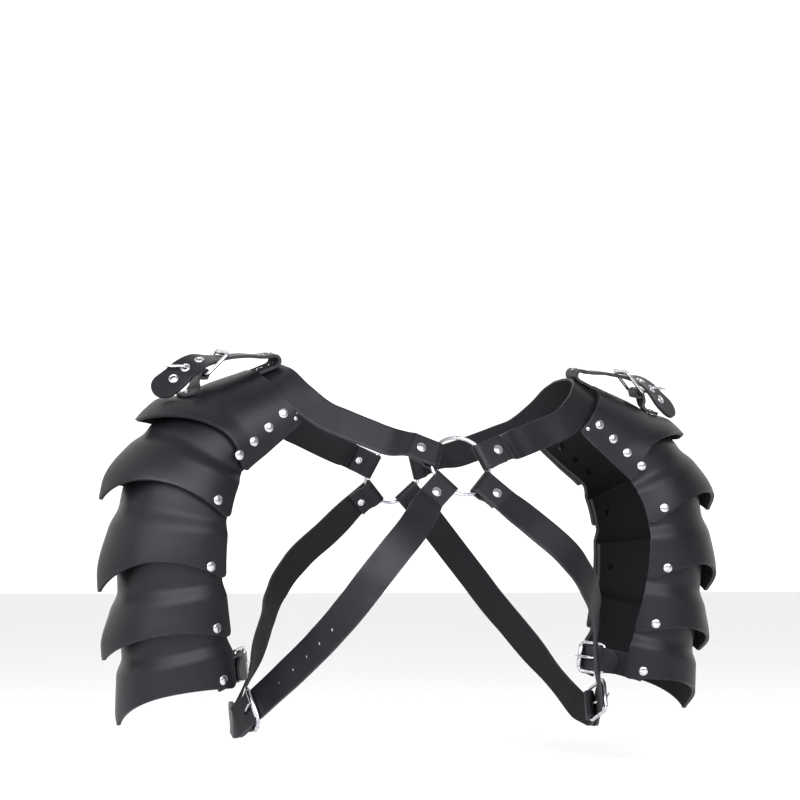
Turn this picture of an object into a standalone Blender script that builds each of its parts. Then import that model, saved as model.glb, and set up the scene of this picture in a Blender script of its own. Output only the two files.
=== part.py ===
"""Leather shoulder harness with two lamed shoulder guards, in metres, +Z up.

The wearer faces -Y and +X is the wearer's left. The origin lies midway between the
two shoulder straps, at the height where they sit on the shoulders.
"""
import math
from collections import namedtuple

import bmesh
import bpy
from mathutils import Matrix, Vector

# Leather
PLATE_THICKNESS = 0.0030
STRAP_THICKNESS = 0.0025
STRAP_WIDTH = 0.0250
SMALL_STRAP_WIDTH = 0.0200
LAYER_GAP = 0.0012
CLEARANCE = 0.0004
CORNER_RADIUS = 0.0070

# Shoulder and upper arm that the guards close round
REACH = 0.2580
DROP = 0.2830
ARM_RADIUS = 0.0470

# Metal
RING_RADIUS = 0.0251
RING_WIRE = 0.0015
RING_LEAN = math.radians(20.5)
FRAME_WIRE = 0.0015
ROLLER_RADIUS = 0.0022
PRONG_RADIUS = 0.0012
FRAME_LENGTH = 0.0200
HOLE_RADIUS = 0.0034
RIVET_CAP_RADIUS = 0.0040
RIVET_CAP_HEIGHT = 0.0016
RIVET_SHANK_RADIUS = 0.0014
RIVET_TAIL_RADIUS = 0.0030
RIVET_TAIL_HEIGHT = 0.0008

# Chest, where the front ring lies
RING_DEPTH = 0.0722
RING_DROP = 0.0780
UPPER_STRAP_ANGLE = math.radians(21.5)
LOWER_STRAP_ANGLE = math.radians(-43.5)
FOLD_RETURN = 0.0190
FOLD_STRAIGHT = 0.0220
FOLD_RIVET = 0.0140
FOLD_WIDTH_SHARE = 0.88
BEND_REACH = 0.1190
STRAP_PLACE = -0.25
STRAP_TURNS = (0.80, 0.50, 0.25, 0.0)
SIDE_REACH = 0.1570
SIDE_DROP = DROP * 0.961
SIDE_BACK = -0.0120
SIDE_WAY = Vector((0.30, 0.78, -0.50))
SIDE_FACE = Vector((0.93, -0.36, 0.0))
SIDE_TAIL = 0.0450
BACK_DEPTH_SHARE = 0.88

# Small strap over each shoulder, its buckle and the tab that holds it
ARCH_WIDTH = 0.0230
ARCH_TURN = 0.13
ARCH_REACH = 0.2380
ARCH_RISE = 0.0115
ARCH_BEND = 0.0045
ARCH_ROOT = (-0.05, -0.25, -0.40)
EYELET_COUNT = 3
EYELET_PITCH = 0.0130
EYELET_RADIUS = 0.0037
EYELET_INSET = 0.0200
TALL_FRAME_LENGTH = 0.0240
TALL_FRAME_SLOPE = math.radians(47.0)
TALL_PRONG_REACH = 0.0180
TALL_PRONG_WAY = Vector((0.92, 0.38, 0.0))
TAB_FOOT = (0.54, 0.61, 0.68)
TAB_SHARE = 0.65

# Strap that closes the lowest plate round the arm
ARM_STRAP_PLACE = 4.70
ARM_BUCKLE_TURN = math.radians(172.0)
ARM_BUCKLE_LIFT = 0.0062
ARM_BACK_ANGLES = (248.0, 234.0, 221.0)
ARM_TAIL_ANGLE = 138.0
ARM_FRONT_ANGLES = (136.0, 124.0, 112.0)

# How far a buckle's prong hole lies past the middle of its frame, and the lengths of
# a strap's inner layer and of its straight outer layer at a heel bar
PRONG_HOLE_SHIFT = 0.0038
BUCKLE_RETURN = 0.0050
BUCKLE_STRAIGHT = 0.0080
ARM_RETURN = 0.0042
ARM_STRAIGHT = 0.0060

SIDES = (("left", 1.0), ("right", -1.0))
BACKWARD = Vector((0.0, 1.0, 0.0))

# One hoop of the shoulder and arm that the plates follow. The columns are the plate
# edge it belongs to, then the place of its outermost point and of its two ends:
# across as shares of REACH, down as shares of DROP, and the half gap between the
# ends, the half depth and the backward shift of its middle as shares of ARM_RADIUS.
Hoop = namedtuple("Hoop", "at apex_across apex_down end_across end_down end_gap depth back")
HOOPS = (
    Hoop(-0.5, 0.519, 0.012, 0.434, -0.071, 0.830, 0.850, 0.085),
    Hoop(0.0, 0.603, -0.021, 0.494, -0.151, 0.890, 0.920, 0.105),
    Hoop(0.5, 0.775, -0.085, 0.589, -0.228, 0.890, 0.960, 0.085),
    Hoop(1.0, 0.915, -0.182, 0.684, -0.302, 0.880, 1.000, 0.040),
    Hoop(2.0, 0.998, -0.389, 0.736, -0.438, 0.960, 1.050, 0.000),
    Hoop(3.0, 0.996, -0.629, 0.740, -0.599, 0.900, 1.030, 0.085),
    Hoop(4.0, 0.975, -0.816, 0.713, -0.758, 0.800, 1.000, 0.190),
    Hoop(5.0, 0.969, -1.000, 0.686, -0.898, 0.720, 0.970, 0.270),
)

# One plate of a shoulder guard. The columns are how far its point stands off the
# arm, where along the plate that starts, how high its lower edge arches beside the
# point, where along the edge the arch is highest, and how far up it runs under its
# upper neighbour at its two ends and in the middle.
Plate = namedtuple("Plate", "number flare flare_from arch arch_peak cover_ends cover_middle")
PLATES = (
    Plate(1, 0.009, 0.55, 0.020, 0.62, 0.00, 0.00),
    Plate(2, 0.014, 0.05, 0.018, 0.45, 0.93, 0.66),
    Plate(3, 0.013, 0.05, 0.021, 0.45, 0.70, 0.70),
    Plate(4, 0.013, 0.05, 0.016, 0.45, 0.70, 0.70),
    Plate(5, 0.001, 0.05, 0.016, 0.42, 0.70, 0.66),
)
EDGE_RIVET = 0.0130
FRONT_RIVETS = (0.14, 0.37, 0.61, 0.84)
LOWER_RIVET_RISE = 0.0120
PLATE_HOLE_REACH = 0.0120
SEAT_CLEARANCE = 0.0008

# One place along the middle of a strap on the body: across, back and up, and the way
# its outer face looks there. For the upper and lower straps they are from the origin,
# as shares of the strap's own reach, of RING_DEPTH and of its own drop.
Place = namedtuple("Place", "across back down face_across face_back face_up")
UPPER_PLACES = (
    Place(0.454, -0.785, -0.756, 0.06, -0.95, 0.30),
    Place(0.605, -0.730, -0.673, 0.08, -0.95, 0.30),
    Place(0.756, -0.680, -0.583, 0.10, -0.95, 0.30),
    Place(0.908, -0.640, -0.485, 0.16, -0.92, 0.36),
)
LOWER_PLACES = (
    Place(0.340, -1.440, -0.469, 0.08, -0.95, 0.28),
    Place(0.474, -1.570, -0.544, 0.22, -0.95, 0.16),
    Place(0.584, -1.560, -0.620, 0.42, -0.90, 0.10),
    Place(0.668, -1.430, -0.695, 0.60, -0.80, 0.06),
    Place(0.741, -1.160, -0.772, 0.74, -0.67, 0.04),
    Place(0.820, -0.830, -0.850, 0.82, -0.57, 0.04),
)

# Places along the free tail past the side buckle, from the buckle's middle, as shares
# of SIDE_TAIL.
TAIL_PLACES = (
    Place(0.133, 0.533, -0.244, 1.00, 0.00, -0.10),
    Place(0.044, 1.017, -0.089, 0.92, 0.38, -0.05),
)

# Places along the middle of the small shoulder strap past its bend: across as shares
# of ARCH_REACH, up as shares of ARCH_RISE, and the degrees that its face has turned
# to the front there. Its roller lies on the place that ROLLER_INDEX counts to.
ARCH_PLACES = (
    (0.632, 1.00, 0.0), (0.693, 1.00, 0.0), (0.765, 0.80, 0.0), (0.815, 0.60, 10.0),
    (0.857, 0.40, 24.0), (0.898, -0.16, 36.0), (0.936, -0.92, 42.0), (1.000, -1.95, 42.0),
)
ROLLER_INDEX = 2

# Where a plate rises over its neighbour's thickness, and the mesh steps
RAMP = 0.28
HOLE_SIDES = 8
RIVET_SIDES = 6
RING_STEPS = 20
WIRE_SIDES = 6
PLATE_COLUMNS = (0.0, 0.14, 0.31, 0.50, 0.69, 0.87, 1.0)
PLATE_ROWS = 5


def clear_scene():
    """Remove what the scene holds."""
    for item in list(bpy.data.objects):
        bpy.data.objects.remove(item)


def make_material(name, colour, roughness, metallic):
    """Return a plain surface material."""
    material = bpy.data.materials.new(name)
    material.use_nodes = True
    surface = material.node_tree.nodes["Principled BSDF"]
    surface.inputs["Base Color"].default_value = (*colour, 1.0)
    surface.inputs["Roughness"].default_value = roughness
    surface.inputs["Metallic"].default_value = metallic
    return material


def add_object(name, mesh_data, finish, side=1.0):
    """Make an object of a bmesh, mirrored to the wearer's right where side is -1."""
    if side < 0.0:
        bmesh.ops.scale(mesh_data, vec=(-1.0, 1.0, 1.0), verts=mesh_data.verts)
        bmesh.ops.reverse_faces(mesh_data, faces=mesh_data.faces)
    mesh = bpy.data.meshes.new(name)
    mesh_data.to_mesh(mesh)
    mesh_data.free()
    mesh.materials.append(make_material(name, *finish))
    mesh.shade_smooth()
    mesh.set_sharp_from_angle(angle=math.radians(40.0))
    item = bpy.data.objects.new(name, mesh)
    bpy.context.scene.collection.objects.link(item)
    return item


def face_out(data):
    """Turn the faces of one closed body outward and return it."""
    bmesh.ops.recalc_face_normals(data, faces=data.faces)
    if data.calc_volume(signed=True) < 0.0:
        bmesh.ops.reverse_faces(data, faces=data.faces)
    return data


LEATHER = ((0.012, 0.012, 0.014), 0.42, 0.0)
NICKEL = ((0.75, 0.75, 0.77), 0.18, 1.0)


def smooth_step(value):
    """Return an even rise from 0 to 1 for a value that runs from 0 to 1."""
    value = min(max(value, 0.0), 1.0)
    return value * value * (3.0 - 2.0 * value)


def curve_value(keys, values, at):
    """Read a smooth curve through keyed values, with its end slopes carried on."""
    last = len(keys) - 1
    slopes = []
    for index in range(last + 1):
        before, after = max(index - 1, 0), min(index + 1, last)
        slopes.append((values[after] - values[before]) / (keys[after] - keys[before]))
    if at <= keys[0]:
        return values[0] + slopes[0] * (at - keys[0])
    if at >= keys[last]:
        return values[last] + slopes[last] * (at - keys[last])
    index = max(i for i in range(last) if keys[i] <= at)
    span = keys[index + 1] - keys[index]
    t = (at - keys[index]) / span
    start = (2 * t ** 3 - 3 * t ** 2 + 1) * values[index]
    start += (t ** 3 - 2 * t ** 2 + t) * span * slopes[index]
    end = (3 * t ** 2 - 2 * t ** 3) * values[index + 1]
    return start + end + (t ** 3 - t ** 2) * span * slopes[index + 1]


def smooth_path(points, step):
    """Return points about a step apart along a smooth curve through the given ones."""
    keys = [0.0]
    for first, second in zip(points, points[1:]):
        keys.append(keys[-1] + max((second - first).length, step * 0.1))
    count = max(int(round(keys[-1] / step)), 2)
    path = []
    for index in range(count + 1):
        at = keys[-1] * index / count
        path.append(Vector([curve_value(keys, [p[k] for p in points], at) for k in range(3)]))
    return path


def hoop_at(place):
    """Return the sizes of the arm's hoop at a place between plate edges."""
    keys = [hoop.at for hoop in HOOPS]
    read = [curve_value(keys, [hoop[i] for hoop in HOOPS], place) for i in range(1, 8)]
    back = read[6] * ARM_RADIUS
    apex = Vector((read[0] * REACH, back, read[1] * DROP))
    end = Vector((read[2] * REACH, back, read[3] * DROP))
    return apex, end, read[4] * ARM_RADIUS, read[5] * ARM_RADIUS


def arm_point(turn, place):
    """Return the point of the shoulder and arm at a turn from back (-1) to front (1)."""
    apex, end, gap, depth = hoop_at(place)
    wrap = math.pi - math.asin(min(gap / depth, 1.0))
    out = apex - end
    radius = out.length / (1.0 - math.cos(wrap))
    out.normalize()
    angle = turn * wrap
    point = apex + out * radius * (math.cos(angle) - 1.0)
    return point + Vector((0.0, -depth * math.sin(angle), 0.0))


def arm_normal(turn, place):
    """Return the outward direction of the shoulder and arm."""
    small = 0.01
    along_turn = arm_point(turn + small, place) - arm_point(turn - small, place)
    along_place = arm_point(turn, place + small) - arm_point(turn, place - small)
    return along_turn.cross(along_place).normalized()


def arm_pitch(turn, place):
    """Return the length of arm between one plate edge and the next at a turn."""
    return (arm_point(turn, place) - arm_point(turn, place - 1.0)).length


def plate_low(plate, turn):
    """Return where a plate's lower edge runs, as a place along the arm."""
    across = abs(turn)
    bend = math.log(0.5) / math.log(plate.arch_peak)
    rise = plate.arch * math.sin(math.pi * across ** bend)
    half = (arm_point(1.0, plate.number) - arm_point(0.5, plate.number)).length * 2.0
    corner = 1.0 - CORNER_RADIUS / half
    if across > corner:
        part = (across - corner) / (1.0 - corner)
        rise += CORNER_RADIUS * (1.0 - math.sqrt(max(1.0 - part * part, 0.0)))
    return plate.number - rise / arm_pitch(turn, plate.number)


def plate_top(plate, turn):
    """Return where a plate's upper edge runs, under its upper neighbour."""
    share = abs(turn) ** 1.5
    cover = plate.cover_middle * (1.0 - share) + plate.cover_ends * share
    return plate.number - 1.0 - cover


def plate_lift(plate, turn, place):
    """Return how far a plate's inner face stands off the arm."""
    layer = PLATE_THICKNESS + LAYER_GAP
    run = place - (plate.number - 1.0)
    if plate.number > 1:
        layer *= smooth_step(run / RAMP)
    flare = plate.flare * (1.0 - abs(turn)) ** 1.2
    return layer + flare * smooth_step((run - plate.flare_from) / (0.8 - plate.flare_from))


def plate_point(plate, turn, place):
    """Return the middle of a plate's thickness at a turn and place."""
    lift = plate_lift(plate, turn, place) + PLATE_THICKNESS / 2.0
    return arm_point(turn, place) + arm_normal(turn, place) * lift


def grid_normals(grid):
    """Return the outward direction at each point of a grid of rows."""
    normals = []
    for i, row in enumerate(grid):
        line = []
        for j in range(len(row)):
            down = grid[min(i + 1, len(grid) - 1)][j] - grid[max(i - 1, 0)][j]
            across = row[min(j + 1, len(row) - 1)] - row[max(j - 1, 0)]
            line.append(down.cross(across).normalized())
        normals.append(line)
    return normals


def sheet_mesh(grid, thickness):
    """Return a closed bmesh of even thickness about a grid of middle points."""
    normals = grid_normals(grid)
    rows, columns = len(grid), len(grid[0])
    data = bmesh.new()
    layers = []
    for shift in (thickness / 2.0, -thickness / 2.0):
        layer = []
        for line, ways in zip(grid, normals):
            layer.append([data.verts.new(p + n * shift) for p, n in zip(line, ways)])
        layers.append(layer)
    for i in range(rows - 1):
        for j in range(columns - 1):
            for layer in layers:
                corners = (layer[i][j], layer[i][j + 1], layer[i + 1][j + 1], layer[i + 1][j])
                data.faces.new(corners)
    rim = [(0, j) for j in range(columns)] + [(i, columns - 1) for i in range(1, rows)]
    rim += [(rows - 1, j) for j in range(columns - 2, -1, -1)]
    rim += [(i, 0) for i in range(rows - 2, 0, -1)]
    outer, inner = layers
    for (a, b), (c, d) in zip(rim, rim[1:] + rim[:1]):
        data.faces.new((outer[a][b], outer[c][d], inner[c][d], inner[a][b]))
    return face_out(data)


def strap_grid(path, faces, width, round_end=False, columns=(-1.0, 1.0)):
    """Return rows of middle points across a strap, of one width or of a width rule."""
    grid = []
    last = len(path) - 1
    for index, (point, face) in enumerate(zip(path, faces)):
        along = path[min(index + 1, last)] - path[max(index - 1, 0)]
        across = face.cross(along).normalized()
        half = (width(point) if callable(width) else width) / 2.0
        left = (path[last] - point).length
        if round_end and left < half:
            half *= math.sqrt(max(1.0 - (1.0 - left / half) ** 2, 0.04))
        grid.append([point + across * half * share for share in columns])
    return grid


def path_faces(path, places):
    """Return strap face directions along a path, blended between given places."""
    faces = []
    for point in path:
        weights = [1.0 / ((point - where).length + 0.002) ** 3 for where, _ in places]
        total = sum((w * face for w, (_, face) in zip(weights, places)), Vector())
        faces.append(total.normalized())
    return faces


def tube_mesh(path, radius, sides, closed=False):
    """Return a closed bmesh of a round bar along a path, of one radius or of many."""
    radii = radius if isinstance(radius, list) else [radius] * len(path)
    data = bmesh.new()
    last = len(path) - 1
    rings = []
    normal = None
    for index, point in enumerate(path):
        before = path[index - 1] if closed or index else path[0]
        after = path[(index + 1) % len(path)] if closed or index < last else path[last]
        along = (after - before).normalized()
        if normal is None:
            start = Vector((0.0, 1.0, 0.0)) if abs(along.y) < 0.9 else Vector((1.0, 0.0, 0.0))
            normal = along.cross(start)
        normal = (normal - along * normal.dot(along)).normalized()
        other = along.cross(normal)
        ring = []
        for step in range(sides):
            angle = 2.0 * math.pi * step / sides
            offset = normal * math.cos(angle) + other * math.sin(angle)
            ring.append(data.verts.new(point + offset * radii[index]))
        rings.append(ring)
    pairs = list(zip(rings, rings[1:]))
    if closed:
        pairs.append((rings[-1], rings[0]))
    for first, second in pairs:
        for step in range(sides):
            nxt = (step + 1) % sides
            data.faces.new((first[step], first[nxt], second[nxt], second[step]))
    if not closed:
        data.faces.new(rings[0])
        data.faces.new(rings[-1])
    return face_out(data)


def turned_mesh(profile, centre, axis, sides=HOLE_SIDES):
    """Return a closed bmesh of a profile of radius and height turned about an axis."""
    data = bmesh.new()
    start = Vector((0.0, 0.0, 1.0)) if abs(axis.z) < 0.9 else Vector((1.0, 0.0, 0.0))
    first = axis.cross(start).normalized()
    second = axis.cross(first)
    rings = []
    for radius, height in profile:
        ring = []
        for step in range(sides):
            angle = 2.0 * math.pi * step / sides
            spoke = first * math.cos(angle) + second * math.sin(angle)
            ring.append(data.verts.new(centre + axis * height + spoke * radius))
        rings.append(ring)
    for lower, upper in zip(rings, rings[1:]):
        for step in range(sides):
            nxt = (step + 1) % sides
            data.faces.new((lower[step], lower[nxt], upper[nxt], upper[step]))
    data.faces.new(rings[0])
    data.faces.new(rings[-1])
    return face_out(data)


def rivet(name, centre, axis, above, below, side):
    """Make a rivet whose cap and tail clasp the leather above and below its centre."""
    cap = above + CLEARANCE
    tail = -below - CLEARANCE
    profile = (
        (RIVET_TAIL_RADIUS, tail - RIVET_TAIL_HEIGHT),
        (RIVET_TAIL_RADIUS, tail),
        (RIVET_SHANK_RADIUS, tail),
        (RIVET_SHANK_RADIUS, cap),
        (RIVET_CAP_RADIUS, cap),
        (RIVET_CAP_RADIUS * 0.55, cap + RIVET_CAP_HEIGHT),
    )
    return add_object(name, turned_mesh(profile, centre, axis, RIVET_SIDES), NICKEL, side)


def cut_holes(item, holes, side, reach=0.006):
    """Cut round holes, each a centre, an axis and a radius, through a piece."""
    data = bmesh.new()
    for centre, axis, radius in holes:
        profile = ((radius, -reach), (radius, reach))
        pin = turned_mesh(profile, centre, axis)
        mesh = bpy.data.meshes.new("pin")
        pin.to_mesh(mesh)
        pin.free()
        data.from_mesh(mesh)
        bpy.data.meshes.remove(mesh)
    apply_cutter(item, data, side)


def apply_cutter(item, data, side):
    """Subtract a bmesh from a piece with a boolean modifier."""
    cutter = add_object(item.name + "_cutter", data, LEATHER, side)
    cutter.hide_render = True
    cutter.display_type = "WIRE"
    cut = item.modifiers.new("cut", "BOOLEAN")
    cut.operation = "DIFFERENCE"
    cut.solver = "EXACT"
    cut.object = cutter


def ring_frame(back):
    """Return a ring's centre, its upward direction and its outward direction."""
    way = 1.0 if back else -1.0
    centre = Vector((0.0, way * RING_DEPTH, -RING_DROP))
    upward = Vector((0.0, -way * math.sin(RING_LEAN), math.cos(RING_LEAN)))
    face = Vector((0.0, way * math.cos(RING_LEAN), math.sin(RING_LEAN)))
    return centre, upward, face


def ring(name, back):
    """Make one round ring that four straps loop through."""
    centre, upward, _ = ring_frame(back)
    path = []
    for step in range(RING_STEPS):
        angle = 2.0 * math.pi * step / RING_STEPS
        spoke = Vector((math.cos(angle), 0.0, 0.0)) + upward * math.sin(angle)
        path.append(centre + spoke * RING_RADIUS)
    return add_object(name, tube_mesh(path, RING_WIRE, WIRE_SIDES, closed=True), NICKEL)


def fold_profile(bar_radius, thickness, returned, room):
    """Return the section of a strap end folded round a bar at the section's origin.

    Each pair is how far along the strap a point lies from the bar and how far out
    of its face. The section starts at the free end of the inner layer, and a curved
    bar needs room along the strap.
    """
    bend = bar_radius + CLEARANCE + thickness / 2.0
    flat = bend - thickness - CLEARANCE
    start = min(FOLD_RIVET - RIVET_TAIL_RADIUS - CLEARANCE, returned * 0.75)
    inner = ((returned, flat), (start, flat), (bend + room, -bend * 0.9))
    arc = []
    for step in range(7):
        angle = math.radians(-90.0 - 180.0 * step / 6)
        arc.append((bend * math.cos(angle), bend * math.sin(angle)))
    return list(inner) + arc


def fold_points(origin, along, face, returned, bar_radius, room=0.0):
    """Return the path and faces of a folded strap end that leaves along a way."""
    profile = fold_profile(bar_radius, STRAP_THICKNESS, returned, room)
    path = [origin + along * a + face * out for a, out in profile]
    faces = []
    across = face.cross(along)
    for index in range(len(path)):
        step = path[min(index + 1, len(path) - 1)] - path[max(index - 1, 0)]
        faces.append(step.cross(across).normalized())
    return path, faces


def ring_chord():
    """Return how far from a ring's centre the edges of a folded strap meet its wire."""
    half = STRAP_WIDTH * FOLD_WIDTH_SHARE / 2.0
    return math.sqrt(RING_RADIUS ** 2 - half ** 2)


def ring_joint(angle, back):
    """Return where a strap loops round a ring, its way out and its outward face."""
    centre, upward, face = ring_frame(back)
    along = Vector((math.cos(angle), 0.0, 0.0)) + upward * math.sin(angle)
    return centre + along * ring_chord(), along, face


def ring_strap_width(point):
    """Return a ring strap's width, which narrows to its fold at a ring."""
    height = Vector((point.x, abs(point.y) - RING_DEPTH, point.z + RING_DROP)).length
    share = smooth_step((height - RING_RADIUS - FOLD_RIVET) / RING_RADIUS)
    return STRAP_WIDTH * (FOLD_WIDTH_SHARE + (1.0 - FOLD_WIDTH_SHARE) * share)


def fold_level(bar_radius=RING_WIRE, thickness=STRAP_THICKNESS):
    """Return how far a folded strap's outer layer stands off the bar it holds."""
    return bar_radius + CLEARANCE + thickness / 2.0


def ring_run(angle, back):
    """Return a strap's path and faces from its fold at a ring to past its return."""
    origin, along, face = ring_joint(angle, back)
    room = RING_RADIUS - ring_chord()
    path, faces = fold_points(origin, along, face, FOLD_RETURN, RING_WIRE, room)
    for share in (0.5, 1.0):
        path.append(origin + along * FOLD_STRAIGHT * share + face * fold_level())
        faces.append(face.copy())
    return path, faces


def placed(places, reach, depth, drop):
    """Return the points and faces of a table of places, in the lengths given."""
    points = []
    for place in places:
        point = Vector((place.across * reach, place.back * depth, place.down * drop))
        face = Vector((place.face_across, place.face_back, place.face_up)).normalized()
        points.append((point, face))
    return points


def joined_run(start, points, step):
    """Return a path and faces that leave a folded end and run through given places."""
    path, faces = start
    knots = [(path[-2], faces[-2]), (path[-1], faces[-1])] + points
    run = smooth_path([where for where, _ in knots[1:]], step)
    return path[:-1] + run, faces[:-1] + path_faces(run, knots)


def shoulder_strap(name, side):
    """Make the strap from the front ring over the shoulder to the back ring."""
    points = placed(UPPER_PLACES, BEND_REACH, RING_DEPTH, RING_DROP)
    for turn in STRAP_TURNS:
        lift = arm_normal(turn, STRAP_PLACE) * STRAP_THICKNESS / 2.0
        points.append((arm_point(turn, STRAP_PLACE) + lift, arm_normal(turn, STRAP_PLACE)))
    path, faces = joined_run(ring_run(UPPER_STRAP_ANGLE, False), points, 0.015)
    crest = path[-1].y
    flip = Vector((1.0, -1.0, 1.0))
    back_path = [p * flip for p in reversed(path[:-1])]
    back_faces = [f * flip for f in reversed(faces[:-1])]
    for point in back_path:
        point.y += 2.0 * crest * (1.0 - smooth_step(point.y / (0.6 * RING_DEPTH)))
    line, ways = path + back_path, faces + back_faces
    grid = strap_grid(line, ways, ring_strap_width)
    item = add_object(name, sheet_mesh(grid, STRAP_THICKNESS), LEATHER, side)
    cut_holes(item, [ring_hole(UPPER_STRAP_ANGLE, False)], side)
    return item


def ring_hole(angle, back):
    """Return the hole that a ring strap's rivet passes through."""
    origin, along, face = ring_joint(angle, back)
    level = fold_level() - (STRAP_THICKNESS + CLEARANCE) / 2.0
    centre = origin + along * FOLD_RIVET + face * level
    return centre, face, RIVET_SHANK_RADIUS + CLEARANCE


def ring_rivet(name, angle, back, side):
    """Make the rivet that closes a strap's fold at a ring."""
    centre, axis, _ = ring_hole(angle, back)
    half = STRAP_THICKNESS + CLEARANCE / 2.0
    return rivet(name, centre, axis, half, half, side)


def plate(name, shape, side):
    """Make one curved plate of a shoulder guard."""
    turns = [-t for t in reversed(PLATE_COLUMNS[1:])] + list(PLATE_COLUMNS)
    columns = [[plate_point(shape, turn, place) for place in plate_rows(shape, turn)]
               for turn in turns]
    grid = [list(row) for row in zip(*columns)]
    item = add_object(name, sheet_mesh(grid, PLATE_THICKNESS), LEATHER, side)
    cut_holes(item, plate_holes(shape), side, PLATE_HOLE_REACH)
    return item


def plate_rows(shape, turn):
    """Return the places of a plate's mesh rows, which keep to the ends of its rise."""
    top, low = plate_top(shape, turn), plate_low(shape, turn)
    if shape.number == 1:
        return [top + (low - top) * row / PLATE_ROWS for row in range(PLATE_ROWS + 1)]
    start = shape.number - 1.0
    return [top, (top + start) / 2.0, start, start + RAMP, (start + RAMP + low) / 2.0, low]


def plate_normal(shape, turn, place):
    """Return the outward direction of a plate at a turn and place."""
    small = 0.02
    across = plate_point(shape, turn + small, place) - plate_point(shape, turn - small, place)
    down = plate_point(shape, turn, place + small) - plate_point(shape, turn, place - small)
    return across.cross(down).normalized()


def rivet_turn(place):
    """Return the turn at which a rivet stands in from the front edge of the plates."""
    half = (arm_point(1.0, place) - arm_point(0.5, place)).length * 2.0
    return 1.0 - EDGE_RIVET / half


def rivet_seats(shape):
    """Return the turn and place of each rivet that goes through a plate's lower part."""
    if shape.number == 1:
        return [(rivet_turn(place), place) for place in FRONT_RIVETS]
    place = shape.number - LOWER_RIVET_RISE / arm_pitch(1.0, shape.number)
    return [(rivet_turn(place), place)]


def plate_holes(shape):
    """Return the rivet holes of a plate, its own and those of its upper neighbour."""
    seats = [(shape, seat) for seat in rivet_seats(shape)]
    if shape.number > 1:
        above = PLATES[shape.number - 2]
        seats += [(above, seat) for seat in rivet_seats(above)]
    holes = []
    for owner, (turn, place) in seats:
        centre = plate_point(owner, turn, place)
        holes.append((centre, plate_normal(owner, turn, place), RIVET_SHANK_RADIUS + CLEARANCE))
    return holes


def heel_depth():
    """Return how far a heel bar lies below the middle of the strap it buckles."""
    return STRAP_THICKNESS + 2.0 * CLEARANCE + fold_level()


def buckle_bars(centre, along, face):
    """Return the heel bar and the roller of a buckle whose strap runs along a way."""
    raised = STRAP_THICKNESS / 2.0 + CLEARANCE + ROLLER_RADIUS
    heel = centre + along * FRAME_LENGTH / 2.0 - face * heel_depth()
    roller = centre - along * FRAME_LENGTH / 2.0 + face * raised
    return heel, roller


def buckle_frame(name, heel, roller, across, width, side):
    """Make a buckle's bent wire frame with the roller on its far bar."""
    half = width / 2.0 + 2.0 * CLEARANCE + FRAME_WIRE
    turn = (roller - heel).normalized() * FRAME_WIRE
    corner = half - FRAME_WIRE
    sleeve = corner - FRAME_WIRE
    path = [heel - across * half + turn, heel - across * corner]
    path += [heel + across * corner, heel + across * half + turn]
    path += [roller + across * half - turn, roller + across * corner]
    path += [roller + across * out for out in (sleeve, sleeve - CLEARANCE)]
    path += [roller - across * out for out in (sleeve - CLEARANCE, sleeve)]
    path += [roller - across * corner, roller - across * half - turn]
    radii = [FRAME_WIRE] * len(path)
    radii[7] = radii[8] = ROLLER_RADIUS
    return add_object(name, tube_mesh(path, radii, WIRE_SIDES, closed=True), NICKEL, side)


def prong(name, heel, along, face, points, side):
    """Make a prong hooked round a heel bar, then led through given points."""
    eye = FRAME_WIRE + CLEARANCE + PRONG_RADIUS
    path = []
    for step in range(7):
        angle = math.radians(-140.0 + 230.0 * step / 6)
        path.append(heel + along * eye * math.cos(angle) + face * eye * math.sin(angle))
    path += points
    return add_object(name, tube_mesh(path, PRONG_RADIUS, WIRE_SIDES), NICKEL, side)


def closed_prong(heel, roller, along, face):
    """Return the points of a closed buckle's prong, through the strap to the roller."""
    level = (roller - heel).dot(face)
    rest = level + ROLLER_RADIUS + 2.0 * CLEARANCE + PRONG_RADIUS
    eye = FRAME_WIRE + CLEARANCE + PRONG_RADIUS
    through = heel_depth()
    knots = (
        (0.20, eye + CLEARANCE), (0.30, through), (0.42, through + STRAP_THICKNESS),
        (0.72, (through + STRAP_THICKNESS + rest) / 2.0), (1.08, rest),
    )
    return [heel - along * FRAME_LENGTH * share + face * out for share, out in knots]


def slot_box(heel, along, face, across):
    """Return a closed bmesh of the slot that a prong needs in its strap's fold."""
    reach = fold_level() + STRAP_THICKNESS
    half = PRONG_RADIUS + 2.0 * CLEARANCE
    data = bmesh.new()
    bmesh.ops.create_cube(data, size=2.0)
    for vert in data.verts:
        x, y, z = vert.co
        vert.co = heel + along * x * reach + across * y * half + face * z * reach
    return face_out(data)


def lower_strap_line():
    """Return the line of the lower front strap from its ring to past its buckle."""
    points = placed(LOWER_PLACES, SIDE_REACH, RING_DEPTH, SIDE_DROP)
    centre, along, face = side_seat()
    for share in (-0.75, 0.0, 0.75):
        points.append((centre + along * FRAME_LENGTH * share, face))
    return points


def side_tail():
    """Return the path and faces of the strap's free tail behind the side buckle."""
    centre, along, face = side_seat()
    start = centre + along * FRAME_LENGTH * 0.75
    knots = [(start, face), (start + along * SIDE_TAIL * 0.15, face)]
    for where, way in placed(TAIL_PLACES, SIDE_TAIL, SIDE_TAIL, SIDE_TAIL):
        knots.append((centre + where, way))
    path = smooth_path([where for where, _ in knots], 0.008)
    return path, path_faces(path, knots)


def side_seat():
    """Return the centre, way and outward face of the buckle at the wearer's side."""
    centre = Vector((SIDE_REACH, SIDE_BACK, -SIDE_DROP))
    along = SIDE_WAY.normalized()
    face = (SIDE_FACE - along * SIDE_FACE.dot(along)).normalized()
    return centre, along, face


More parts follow.
